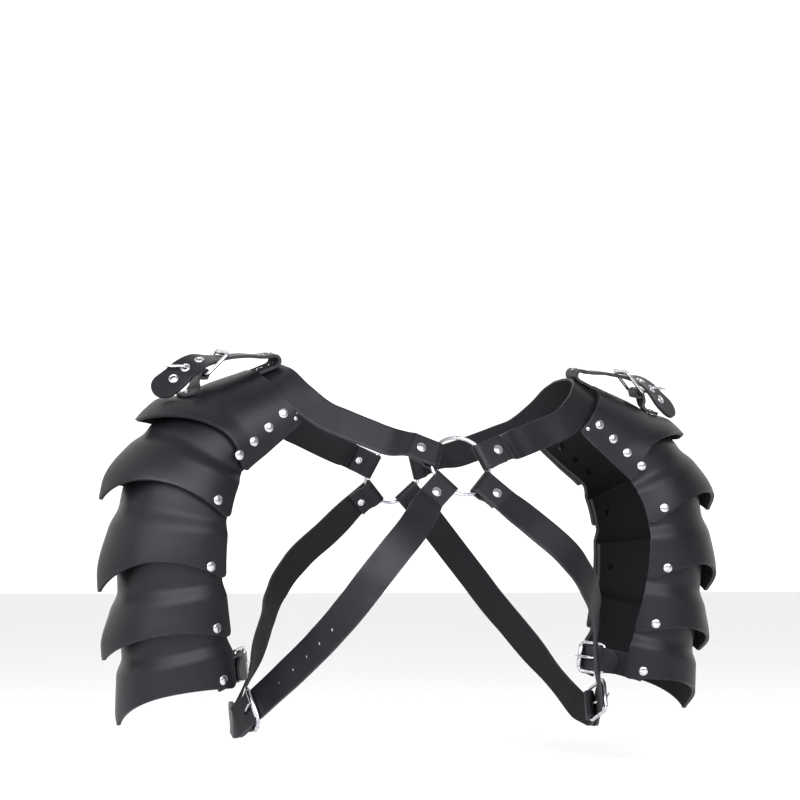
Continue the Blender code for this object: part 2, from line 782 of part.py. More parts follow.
def lower_front_strap(name, side):
    """Make the punched strap from the front ring down to the side buckle."""
    line = lower_strap_line()
    path, faces = joined_run(ring_run(LOWER_STRAP_ANGLE, False), line, 0.018)
    tail, tail_faces = side_tail()
    line, ways = path + tail[1:], faces + tail_faces[1:]
    grid = strap_grid(line, ways, ring_strap_width, round_end=True)
    item = add_object(name, sheet_mesh(grid, STRAP_THICKNESS), LEATHER, side)
    centre, along, face = side_seat()
    holes = [ring_hole(LOWER_STRAP_ANGLE, False)]
    holes.append((centre + along * PRONG_HOLE_SHIFT, face, HOLE_RADIUS))
    cut_holes(item, holes, side)
    return item


def cut_slot(item, heel, along, face, side):
    """Cut the slot that lets a prong through the fold of its strap."""
    apply_cutter(item, slot_box(heel, along, face, face.cross(along)), side)


def lower_back_strap(name, side):
    """Make the strap from the side buckle's heel bar up to the back ring."""
    centre, along, face = side_seat()
    heel, _ = buckle_bars(centre, along, face)
    path, faces = fold_points(heel, along, face, BUCKLE_RETURN, FRAME_WIRE)
    tail, tail_faces = side_tail()
    under = heel_depth() - fold_level()
    for where, look in zip(tail, tail_faces):
        path.append(where - look * under)
        under = STRAP_THICKNESS + CLEARANCE * 4.0
    faces += tail_faces
    flip = Vector((1.0, -1.0, 1.0))
    rise = placed(LOWER_PLACES, SIDE_REACH, RING_DEPTH * BACK_DEPTH_SHARE, SIDE_DROP)
    points = [(where * flip, way * flip) for where, way in reversed(rise[:-1])]
    origin, out, look = ring_joint(LOWER_STRAP_ANGLE, True)
    level = look * fold_level()
    points += [(origin + out * FOLD_STRAIGHT * k + level, look) for k in (1.0, 0.5)]
    path, faces = joined_run((path, faces), points, 0.020)
    room = RING_RADIUS - ring_chord()
    end, ends = fold_points(origin, out, look, FOLD_RETURN, RING_WIRE, room)
    line, ways = path + end[::-1], faces + [way.copy() for way in ends[::-1]]
    grid = strap_grid(line, ways, ring_strap_width)
    item = add_object(name, sheet_mesh(grid, STRAP_THICKNESS), LEATHER, side)
    cut_slot(item, heel, along, face, side)
    return item


def side_buckle(side_name, side):
    """Make the frame and prong of the buckle at the wearer's side."""
    centre, along, face = side_seat()
    heel, roller = buckle_bars(centre, along, face)
    across = face.cross(along)
    buckle_frame(f"side_buckle_frame_{side_name}", heel, roller, across, STRAP_WIDTH, side)
    points = closed_prong(heel, roller, along, face)
    prong(f"side_buckle_prong_{side_name}", heel, along, face, points, side)


def crest_point(place, lift):
    """Return a point of the shoulder under the small strap, and its outward face."""
    face = arm_normal(ARCH_TURN, place)
    return arm_point(ARCH_TURN, place) + face * lift, face


def arch_swing():
    """Return the turn to the front that leans the small strap's plane, and its pivot."""
    pivot, face = crest_point(ARCH_ROOT[0], 0.0)
    inward = crest_point(ARCH_ROOT[-1], 0.0)[0] - pivot
    return Matrix.Rotation(math.asin(-face.y), 3, -inward.normalized()), pivot


def leaned(points):
    """Return points of the upright plane after the small strap's lean to the front."""
    turn, pivot = arch_swing()
    return [pivot + turn @ (point - pivot) for point in points]


def level_faces(path, across):
    """Return the outward faces of a path whose strap lies across a given way."""
    faces = []
    for index in range(len(path)):
        step = path[min(index + 1, len(path) - 1)] - path[max(index - 1, 0)]
        faces.append(step.cross(across).normalized())
    return faces


def arch_faces(path):
    """Return the faces of the small strap, whose tail turns to the front."""
    across = arch_swing()[0] @ BACKWARD
    keys = [place[0] for place in ARCH_PLACES]
    turns = [place[2] for place in ARCH_PLACES]
    faces = []
    for point, face in zip(path, level_faces(path, across)):
        share = min(max(point.x / ARCH_REACH, keys[0]), keys[-1])
        turn = math.radians(curve_value(keys, turns, share))
        faces.append(face * math.cos(turn) - across * math.sin(turn))
    return faces


def arch_line():
    """Return the middle path of the small strap over the shoulder."""
    lift = STRAP_THICKNESS * 1.5 + CLEARANCE
    root = [crest_point(place, lift)[0] for place in ARCH_ROOT]
    depth = root[0].y
    inward = root[-1] - root[0]
    inward.y = 0.0
    inward.normalize()
    face = BACKWARD.cross(inward)
    centre = root[-1] + face * ARCH_BEND
    bend = []
    for degrees in (-45.0, 0.0, 45.0, 90.0):
        angle = math.radians(degrees)
        bend.append(centre + (inward * math.cos(angle) + face * math.sin(angle)) * ARCH_BEND)
    arch = [Vector((a * ARCH_REACH, depth, b * ARCH_RISE)) for a, b, _ in ARCH_PLACES]
    for point in root + bend:
        point.y = depth
    return leaned(smooth_path(root + bend + arch, 0.0065))


def eyelet_seats():
    """Return the centre and face of each eyelet of the small shoulder strap."""
    path = arch_line()
    faces = arch_faces(path)
    seats = []
    run = 0.0
    wanted = [EYELET_INSET + EYELET_PITCH * step for step in range(EYELET_COUNT)]
    for index in range(len(path) - 1, 0, -1):
        length = (path[index] - path[index - 1]).length
        while wanted and run + length >= wanted[0]:
            share = (wanted.pop(0) - run) / length
            seats.append((path[index].lerp(path[index - 1], share), faces[index]))
        run += length
    return seats


def arch_strap(name, side):
    """Make the small strap that arches over the shoulder and ends in a free tail."""
    path = arch_line()
    grid = strap_grid(path, arch_faces(path), ARCH_WIDTH, round_end=True)
    item = add_object(name, sheet_mesh(grid, STRAP_THICKNESS), LEATHER, side)
    cut_holes(item, [(where, way, EYELET_RADIUS) for where, way in eyelet_seats()], side, 0.004)
    return item


def tall_buckle_bars():
    """Return the heel bar and roller of the buckle on the small shoulder strap."""
    across, up, _ = ARCH_PLACES[ROLLER_INDEX]
    lift = STRAP_THICKNESS * 1.5 + CLEARANCE
    under = Vector((across * ARCH_REACH, crest_point(ARCH_ROOT[0], lift)[0].y, up * ARCH_RISE))
    last, following = ARCH_PLACES[ROLLER_INDEX - 1], ARCH_PLACES[ROLLER_INDEX + 1]
    step = Vector(((following[0] - last[0]) * ARCH_REACH, 0.0, (following[1] - last[1]) * ARCH_RISE))
    face = step.cross(BACKWARD).normalized()
    roller = under + face * (STRAP_THICKNESS / 2.0 + CLEARANCE * 2.0 + ROLLER_RADIUS)
    slope = Vector((math.cos(TALL_FRAME_SLOPE), 0.0, -math.sin(TALL_FRAME_SLOPE)))
    return leaned([roller + slope * TALL_FRAME_LENGTH, roller])


def tab_line():
    """Return the foot of the tab on the top plate, as middle points and faces."""
    points = []
    for place in TAB_FOOT:
        face = plate_normal(PLATES[0], ARCH_TURN, place)
        lift = PLATE_THICKNESS / 2.0 + STRAP_THICKNESS / 2.0 + CLEARANCE * 2.0
        points.append((plate_point(PLATES[0], ARCH_TURN, place) + face * lift, face))
    return points


def shoulder_tab(name, heel, side):
    """Make the tab that holds the tall buckle's heel bar on the top plate."""
    foot = tab_line()
    aim = foot[0][0].copy()
    across = arch_swing()[0] @ BACKWARD
    for _ in range(3):
        along = aim - heel
        along = (along - across * along.dot(across)).normalized()
        face = along.cross(across)
        aim = foot[0][0] - face * fold_level()
    path, faces = fold_points(heel, along, face, BUCKLE_RETURN, FRAME_WIRE)
    path.append(heel + along * BUCKLE_STRAIGHT + face * fold_level())
    faces.append(face.copy())
    run = smooth_path([path[-1]] + [point for point, _ in foot], 0.004)
    line = path[:-1] + run
    ways = faces[:-1] + path_faces(run, [(path[-1], face)] + foot)
    grid = strap_grid(line, ways, ARCH_WIDTH * TAB_SHARE, round_end=True)
    item = add_object(name, sheet_mesh(grid, STRAP_THICKNESS), LEATHER, side)
    cut_slot(item, heel, along, face, side)


def tall_buckle(side_name, side):
    """Make the frame, the prong and the tab of the buckle on the small strap."""
    heel, roller = tall_buckle_bars()
    shoulder_tab(f"shoulder_tab_{side_name}", heel, side)
    inward = (roller - heel).normalized()
    across = arch_swing()[0] @ BACKWARD
    buckle_frame(f"shoulder_buckle_frame_{side_name}", heel, roller, across, ARCH_WIDTH, side)
    hole, look = eyelet_seats()[1]
    through = STRAP_THICKNESS / 2.0 + PRONG_RADIUS + CLEARANCE * 2.0
    points = [hole - look * through, hole + look * through]
    points.append(points[-1] + TALL_PRONG_WAY * TALL_PRONG_REACH)
    prong(f"shoulder_buckle_prong_{side_name}", heel, inward, across.cross(inward), points, side)


def arm_around(angle, lift):
    """Return a point round the arm at an angle from its outer side, and its face."""
    _, _, gap, depth = hoop_at(ARM_STRAP_PLACE)
    turn = angle / (math.pi - math.asin(min(gap / depth, 1.0)))
    face = arm_normal(turn, ARM_STRAP_PLACE)
    return arm_point(turn, ARM_STRAP_PLACE) + face * lift, face


def arm_seat():
    """Return the centre, way and outward face of the buckle on the inner arm."""
    centre, face = arm_around(ARM_BUCKLE_TURN, ARM_BUCKLE_LIFT)
    ahead, _ = arm_around(ARM_BUCKLE_TURN - 0.05, ARM_BUCKLE_LIFT)
    along = (ahead - centre).normalized()
    face = (face - along * face.dot(along)).normalized()
    return centre, along, face


def arm_straps(side_name, side):
    """Make the two straps, the frame and the prong that close the guard's lower end."""
    centre, along, face = arm_seat()
    heel, roller = buckle_bars(centre, along, face)
    on_arm = STRAP_THICKNESS / 2.0
    over = on_arm + STRAP_THICKNESS + CLEARANCE * 6.0
    knots = [arm_around(math.radians(a), on_arm) for a in ARM_BACK_ANGLES]
    for share in (-0.75, -0.45, 0.0, 0.45, 0.75):
        knots.append((centre + along * FRAME_LENGTH * share, face))
    knots.append(arm_around(math.radians(ARM_TAIL_ANGLE), over))
    path = smooth_path([point for point, _ in knots], 0.008)
    grid = strap_grid(path, path_faces(path, knots), SMALL_STRAP_WIDTH, round_end=True)
    back = add_object(f"arm_strap_back_{side_name}", sheet_mesh(grid, STRAP_THICKNESS), LEATHER, side)
    cut_holes(back, [(centre + along * PRONG_HOLE_SHIFT, face, HOLE_RADIUS)], side, 0.004)
    path, faces = fold_points(heel, along, face, ARM_RETURN, FRAME_WIRE)
    path.append(heel + along * ARM_STRAIGHT + face * fold_level())
    faces.append(face.copy())
    knots = [arm_around(math.radians(a), on_arm) for a in ARM_FRONT_ANGLES]
    line, ways = joined_run((path, faces), knots, 0.007)
    grid = strap_grid(line, ways, SMALL_STRAP_WIDTH)
    front = add_object(f"arm_strap_front_{side_name}", sheet_mesh(grid, STRAP_THICKNESS), LEATHER, side)
    cut_holes(front, plate_holes(PLATES[-1])[:1], side, PLATE_HOLE_REACH)
    cut_slot(front, heel, along, face, side)
    across = face.cross(along)
    buckle_frame(f"arm_buckle_frame_{side_name}", heel, roller, across, SMALL_STRAP_WIDTH, side)
    points = closed_prong(heel, roller, along, face)
    prong(f"arm_buckle_prong_{side_name}", heel, along, face, points, side)


def plate_rivets(side_name, side):
    """Make the rivets along the front edges of the plates."""
    count = 0
    for shape in PLATES:
        for turn, place in rivet_seats(shape):
            count += 1
            face = plate_normal(shape, turn, place)
            centre = plate_point(shape, turn, place)
            above = PLATE_THICKNESS / 2.0
            below = plate_lift(shape, turn, place) + above + SEAT_CLEARANCE
            rivet(f"plate_rivet_{count}_{side_name}", centre, face, above, below, side)


def main():
    """Build every piece of the harness."""
    clear_scene()
    ring("front_ring", False)
    ring("back_ring", True)
    for side_name, side in SIDES:
        shoulder_strap(f"shoulder_strap_{side_name}", side)
        lower_front_strap(f"lower_front_strap_{side_name}", side)
        lower_back_strap(f"lower_back_strap_{side_name}", side)
        side_buckle(side_name, side)
        for shape in PLATES:
            plate(f"plate_{shape.number}_{side_name}", shape, side)
        plate_rivets(side_name, side)
        ring_rivet(f"ring_rivet_upper_{side_name}", UPPER_STRAP_ANGLE, False, side)
        ring_rivet(f"ring_rivet_lower_{side_name}", LOWER_STRAP_ANGLE, False, side)
        arch_strap(f"arch_strap_{side_name}", side)
        tall_buckle(side_name, side)
        arm_straps(side_name, side)


if __name__ == "__main__":
    main()
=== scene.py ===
"""Looks of a leather shoulder harness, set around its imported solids, in metres, +Z up.

The wearer faces -Y and +X is the wearer's left. The origin lies midway between the two
shoulder straps, at the height where they sit on the shoulders.
"""

import logging
import math
from collections.abc import Callable, Sequence
from dataclasses import dataclass
from enum import Enum

import bmesh
import bpy
from mathutils import Matrix, Vector


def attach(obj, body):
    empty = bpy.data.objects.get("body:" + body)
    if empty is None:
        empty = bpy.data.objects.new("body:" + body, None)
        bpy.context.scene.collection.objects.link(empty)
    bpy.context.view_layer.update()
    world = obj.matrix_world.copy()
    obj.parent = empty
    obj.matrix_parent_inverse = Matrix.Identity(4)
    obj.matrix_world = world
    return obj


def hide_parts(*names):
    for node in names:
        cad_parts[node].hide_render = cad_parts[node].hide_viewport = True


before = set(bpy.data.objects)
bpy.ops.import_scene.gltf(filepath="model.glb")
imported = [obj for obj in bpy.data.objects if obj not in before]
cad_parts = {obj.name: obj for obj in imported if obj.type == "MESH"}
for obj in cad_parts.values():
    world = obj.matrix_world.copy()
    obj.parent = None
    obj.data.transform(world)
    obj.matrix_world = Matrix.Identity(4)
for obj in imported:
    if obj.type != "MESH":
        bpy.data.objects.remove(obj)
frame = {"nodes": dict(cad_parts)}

LOG = logging.getLogger("harness")
BACKWARD = Vector((0.0, 1.0, 0.0))
MIRROR_DEPTH = Vector((1.0, -1.0, 1.0))

# Distances between the points of a run: on a long strap, on a short one, in a bend and
# on a tab or a prong
LONG_STEP = 0.0025
SHORT_STEP = 0.0020
BEND_STEP = 0.0015
FINE_STEP = 0.0012

Profile = Sequence[tuple[float, float]]
Grid = list[list[Vector]]


class Side(Enum):
    """The wearer's side that a piece belongs to, with the sign of its X."""

    LEFT = 1.0
    RIGHT = -1.0

    @property
    def word(self) -> str:
        """Return the word that node names end with."""
        return self.name.lower()


class Slot(Enum):
    """Material slots of the record."""

    LEATHER = "leather"
    NICKEL = "nickel"


class Layer(Enum):
    """Surfaces of a leather piece, with the places of their materials."""

    GRAIN = 0
    FLESH = 1
    EDGE = 2


@dataclass(frozen=True)
class Stock:
    """Thicknesses and widths of the leather, and the gaps between its layers."""

    plate: float = 0.0030
    strap: float = 0.0025
    width: float = 0.0250
    narrow: float = 0.0200
    layer_gap: float = 0.0012
    clearance: float = 0.0004
    corner: float = 0.0070
    softness: float = 0.0006


@dataclass(frozen=True)
class Wire:
    """Radii of the metal bars."""

    ring: float = 0.0015
    frame: float = 0.0015
    roller: float = 0.0022
    prong: float = 0.0012


STOCK = Stock()
WIRE = Wire()


class Graph:
    """A material's node tree with one Principled surface."""

    def __init__(self, name: str) -> None:
        """Make the material.

        Args:
            name: The material's name.
        """
        self.material = bpy.data.materials.new(name)
        self.material.use_nodes = True
        self.nodes = self.material.node_tree.nodes
        self.links = self.material.node_tree.links
        self.surface = self.nodes["Principled BSDF"]
        self.place = self.nodes.new("ShaderNodeTexCoord").outputs["Object"]

    def set(self, **values: float | tuple[float, ...]) -> None:
        """Set the surface's own sockets.

        Args:
            values: Socket names, with underscores for spaces, and their values.
        """
        for name, value in values.items():
            label = name.replace("_", " ").title().replace("Ior", "IOR")
            self.surface.inputs[label].default_value = value

    def noise(self, scale: float, detail: float = 4.0, roughness: float = 0.55,
              stretch: tuple[float, float, float] = (1.0, 1.0, 1.0)) -> bpy.types.NodeSocket:
        """Add an even noise on Object coordinates.

        Args:
            scale: Features per metre.
            detail: Octaves of finer noise.
            roughness: How strong the finer noise is.
            stretch: How much denser it is along each axis.

        Returns:
            The noise's value.
        """
        place = self.nodes.new("ShaderNodeMapping")
        place.inputs["Scale"].default_value = stretch
        self.links.new(self.place, place.inputs["Vector"])
        node = self.nodes.new("ShaderNodeTexNoise")
        node.inputs["Scale"].default_value = scale
        node.inputs["Detail"].default_value = detail
        node.inputs["Roughness"].default_value = roughness
        self.links.new(place.outputs["Vector"], node.inputs["Vector"])
        return node.outputs["Fac"]

    def cells(self, scale: float, feature: str = "F1") -> bpy.types.NodeSocket:
        """Add a cell pattern on Object coordinates.

        Args:
            scale: Cells per metre.
            feature: What the pattern measures.

        Returns:
            The distance value.
        """
        node = self.nodes.new("ShaderNodeTexVoronoi")
        node.feature = feature
        node.inputs["Scale"].default_value = scale
        self.links.new(self.place, node.inputs["Vector"])
        return node.outputs["Distance"]

    def ramp(self, value: bpy.types.NodeSocket, low: tuple[float, float],
             high: tuple[float, float]) -> bpy.types.NodeSocket:
        """Map a value's range onto another, clamped.

        Args:
            value: What is mapped.
            low: The value that is read and what it becomes.
            high: The same at the upper end.

        Returns:
            The mapped value.
        """
        node = self.nodes.new("ShaderNodeMapRange")
        node.inputs["From Min"].default_value = low[0]
        node.inputs["From Max"].default_value = high[0]
        node.inputs["To Min"].default_value = low[1]
        node.inputs["To Max"].default_value = high[1]
        self.links.new(value, node.inputs["Value"])
        return node.outputs["Result"]

    def math(self, operation: str, first: bpy.types.NodeSocket,
             second: bpy.types.NodeSocket | float) -> bpy.types.NodeSocket:
        """Combine two values.

        Args:
            operation: The kind of arithmetic.
            first: A socket.
            second: A socket or a number.

        Returns:
            The result.
        """
        node = self.nodes.new("ShaderNodeMath")
        node.operation = operation
        self.links.new(first, node.inputs[0])
        if isinstance(second, float):
            node.inputs[1].default_value = second
        else:
            self.links.new(second, node.inputs[1])
        return node.outputs["Value"]

    def blend(self, share: bpy.types.NodeSocket, first: tuple[float, ...] | bpy.types.NodeSocket,
              second: tuple[float, ...]) -> bpy.types.NodeSocket:
        """Mix two colours.

        Args:
            share: How much of the second colour shows.
            first: A colour, or the socket of one.
            second: The other colour.

        Returns:
            The mixed colour.
        """
        node = self.nodes.new("ShaderNodeMix")
        node.data_type = "RGBA"
        self.links.new(share, node.inputs["Factor"])
        if isinstance(first, tuple):
            node.inputs[6].default_value = (*first, 1.0)
        else:
            self.links.new(first, node.inputs[6])
        node.inputs[7].default_value = (*second, 1.0)
        return node.outputs[2]

    def rim(self) -> bpy.types.NodeSocket:
        """Return the distance from a piece's cut edge, which its mesh keeps.

        Returns:
            The distance in metres.
        """
        node = self.nodes.new("ShaderNodeAttribute")
        node.attribute_name = "rim"
        return node.outputs["Fac"]

    def bump(self, height: bpy.types.NodeSocket, strength: float, distance: float) -> None:
        """Raise the surface by a height.

        Args:
            height: The height value.
            strength: How strong the relief is.
            distance: The relief's depth in metres.
        """
        node = self.nodes.new("ShaderNodeBump")
        node.inputs["Strength"].default_value = strength
        node.inputs["Distance"].default_value = distance
        self.links.new(height, node.inputs["Height"])
        self.links.new(node.outputs["Normal"], self.surface.inputs["Normal"])

    def feed(self, socket: str, value: bpy.types.NodeSocket) -> None:
        """Lead a value into one of the surface's sockets."""
        self.links.new(value, self.surface.inputs[socket])


@dataclass(frozen=True)
class GrainFinish:
    """The smooth dyed face of the leather."""

    name: str = "black_grain"
    colour: tuple[float, float, float] = (0.0035, 0.0035, 0.0045)
    bloom: tuple[float, float, float] = (0.0060, 0.0060, 0.0078)
    # Lighter colour of the grain's rim: partly edge wear, partly a painted highlight where the cut edge
    # catches light.
    worn_rim_and_highlight: tuple[float, float, float] = (0.0260, 0.0255, 0.0265)
    pores: float = 1500.0
    clouds: float = 26.0
    edge_width: float = 0.0022

    def build(self) -> bpy.types.Material:
        """Return the material, with pores, faint clouds and a polished edge whose rim is lightened in
        patches, partly as edge wear and partly as a painted highlight.

        Returns:
            The material.
        """
        graph = Graph(self.name)
        cloud = graph.noise(self.clouds, 3.0)
        fine = graph.noise(self.pores * 0.45, 5.0, 0.6)
        pore = graph.ramp(graph.cells(self.pores), (0.0, 0.0), (0.55, 1.0))
        edge = graph.ramp(graph.rim(), (0.0, 1.0), (self.edge_width, 0.0))
        # Patchy lighter rim along the cut edge: partly edge wear, partly a painted highlight.
        rim_wear_and_highlight = graph.math("MULTIPLY", edge, graph.ramp(graph.noise(240.0), (0.42, 0.0), (0.72, 0.8)))
        colour = graph.blend(graph.ramp(cloud, (0.3, 0.0), (0.7, 1.0)), self.colour, self.bloom)
        graph.feed("Base Color", graph.blend(rim_wear_and_highlight, colour, self.worn_rim_and_highlight))
        rough = graph.ramp(cloud, (0.25, 0.36), (0.75, 0.47))
        rough = graph.math("ADD", rough, graph.ramp(fine, (0.3, -0.03), (0.7, 0.05)))
        graph.feed("Roughness", graph.math("SUBTRACT", rough, graph.math("MULTIPLY", edge, 0.08)))
        relief = graph.math("ADD", graph.math("MULTIPLY", pore, 0.5), fine)
        graph.bump(relief, 0.22, 0.00012)
        graph.set(specular_ior_level=0.27)
        return graph.material


@dataclass(frozen=True)
class FleshFinish:
    """The napped inner side of the leather."""

    name: str = "black_flesh_side"
    colour: tuple[float, float, float] = (0.0090, 0.0088, 0.0095)
    nap: tuple[float, float, float] = (0.0200, 0.0195, 0.0205)

    def build(self) -> bpy.types.Material:
        """Return the material, with a short fibrous nap.

        Returns:
            The material.
        """
        graph = Graph(self.name)
        fibre = graph.noise(1900.0, 6.0, 0.7, (1.0, 0.35, 1.0))
        patch = graph.noise(60.0, 3.0)
        share = graph.math("MULTIPLY", graph.ramp(fibre, (0.4, 0.0), (0.7, 1.0)), patch)
        graph.feed("Base Color", graph.blend(share, self.colour, self.nap))
        graph.feed("Roughness", graph.ramp(patch, (0.3, 0.80), (0.7, 0.92)))
        graph.bump(fibre, 0.5, 0.00025)
        graph.set(specular_ior_level=0.20)
        return graph.material


@dataclass(frozen=True)
class EdgeFinish:
    """The cut and dyed edge of the leather."""

    name: str = "black_cut_edge"
    colour: tuple[float, float, float] = (0.0110, 0.0110, 0.0120)
    core: tuple[float, float, float] = (0.0240, 0.0230, 0.0235)

    def build(self) -> bpy.types.Material:
        """Return the material, with the fibres of the core showing faintly.

        Returns:
            The material.
        """
        graph = Graph(self.name)
        fibre = graph.noise(1500.0, 5.0, 0.65, (0.4, 0.4, 1.0))
        share = graph.ramp(fibre, (0.45, 0.0), (0.75, 1.0))
        graph.feed("Base Color", graph.blend(share, self.colour, self.core))
        graph.feed("Roughness", graph.ramp(fibre, (0.3, 0.46), (0.7, 0.66)))
        graph.bump(fibre, 0.35, 0.00018)
        graph.set(specular_ior_level=0.40)
        return graph.material


@dataclass(frozen=True)
class NickelFinish:
    """Bright nickel plate with fine handling marks."""

    name: str = "bright_nickel"
    colour: tuple[float, float, float] = (0.60, 0.60, 0.61)
    dull: tuple[float, float, float] = (0.30, 0.30, 0.31)

    def build(self) -> bpy.types.Material:
        """Return the material, with scratches and slightly duller patches.

        Returns:
            The material.
        """
        graph = Graph(self.name)
        patch = graph.noise(320.0, 4.0)
        scratch = graph.noise(900.0, 3.0, 0.6, (0.15, 1.0, 2.4))
        share = graph.ramp(patch, (0.45, 0.0), (0.75, 1.0))
        graph.feed("Base Color", graph.blend(share, self.colour, self.dull))
        rough = graph.ramp(patch, (0.3, 0.12), (0.7, 0.22))
        rough = graph.math("ADD", rough, graph.ramp(scratch, (0.55, 0.0), (0.75, 0.10)))
        graph.feed("Roughness", rough)
        graph.bump(scratch, 0.06, 0.00005)
        graph.set(metallic=1.0)
        return graph.material


@dataclass(frozen=True)
class FloorFinish:
    """Pale matt studio floor."""

    name: str = "studio_floor"
    colour: tuple[float, float, float] = (0.96, 0.96, 0.96)
    shade: tuple[float, float, float] = (0.94, 0.94, 0.94)

    def build(self) -> bpy.types.Material:
        """Return the material, with a barely uneven tone.

        Returns:
            The material.
        """
        graph = Graph(self.name)
        cloud = graph.noise(1.6, 3.0)
        graph.feed("Base Color", graph.blend(cloud, self.colour, self.shade))
        graph.feed("Roughness", graph.ramp(cloud, (0.3, 0.62), (0.7, 0.70)))
        return graph.material


class Workshop:
    """Makes the finishes once and hands finished meshes to the scene."""

    def __init__(self) -> None:
        """Make every finish."""
        self.leather = [GrainFinish().build(), FleshFinish().build(), EdgeFinish().build()]
        self.nickel = [NickelFinish().build()]
        self.count = 0

    def deliver(self, name: str, mesh_data: bmesh.types.BMesh, slot: Slot, side: Side,
                nodes: Sequence[str] = ()) -> bpy.types.Object:
        """Turn a bmesh into a piece of the harness.

        Args:
            name: The piece's name.
            mesh_data: The wearer's left side's mesh, which is freed.
            slot: The finish that the piece takes.
            side: The side that the piece is made for.
            nodes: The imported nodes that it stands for.

        Returns:
            The piece.
        """
        if side is Side.RIGHT:
            bmesh.ops.scale(mesh_data, vec=(-1.0, 1.0, 1.0), verts=mesh_data.verts)
            bmesh.ops.reverse_faces(mesh_data, faces=mesh_data.faces)
        mesh = bpy.data.meshes.new(name)
        mesh_data.to_mesh(mesh)
        mesh_data.free()
        for material in self.leather if slot is Slot.LEATHER else self.nickel:
            mesh.materials.append(material)
        mesh.shade_smooth()
        mesh.set_sharp_from_angle(angle=math.radians(50.0))
        piece = bpy.data.objects.new(name, mesh)
        bpy.context.scene.collection.objects.link(piece)
        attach(piece, "root")
        if nodes:
            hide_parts(*nodes)
        self.count += 1
        LOG.info("%s: %d faces", name, len(mesh.polygons))
        return piece


def smooth_step(value: float) -> float:
    """Return an even rise from 0 to 1 for a value that runs from 0 to 1."""
    value = min(max(value, 0.0), 1.0)
    return value * value * (3.0 - 2.0 * value)


def curve_value(keys: Sequence[float], values: Sequence[float], at: float) -> float:
    """Read a smooth curve through keyed values, with its end slopes carried on.

    Args:
        keys: Rising places of the values.
        values: What the curve passes through.
        at: The place that is read.

    Returns:
        The curve's value there.
    """
    last = len(keys) - 1

    def slope(index: int) -> float:
        """Return the curve's slope at a key."""
        before, after = max(index - 1, 0), min(index + 1, last)
        return (values[after] - values[before]) / (keys[after] - keys[before])

    if at <= keys[0]:
        return values[0] + slope(0) * (at - keys[0])
    if at >= keys[last]:
        return values[last] + slope(last) * (at - keys[last])
    index = max(i for i in range(last) if keys[i] <= at)
    span = keys[index + 1] - keys[index]
    t = (at - keys[index]) / span
    start = (2 * t ** 3 - 3 * t ** 2 + 1) * values[index]
    start += (t ** 3 - 2 * t ** 2 + t) * span * slope(index)
    end = (3 * t ** 2 - 2 * t ** 3) * values[index + 1]
    return start + end + (t ** 3 - t ** 2) * span * slope(index + 1)


def smooth_path(points: Sequence[Vector], step: float) -> list[Vector]:
    """Return points about a step apart along a smooth curve through the given ones.

    Args:
        points: What the curve passes through.
        step: How far apart the new points lie, in metres.

    Returns:
        The points, from the first given one to the last.
    """
    keys = [0.0]
    for first, second in zip(points, points[1:]):
        keys.append(keys[-1] + max((second - first).length, step * 0.1))
    count = max(int(round(keys[-1] / step)), 2)
    axes = [[p[k] for p in points] for k in range(3)]
    return [Vector([curve_value(keys, axis, keys[-1] * i / count) for axis in axes])
            for i in range(count + 1)]


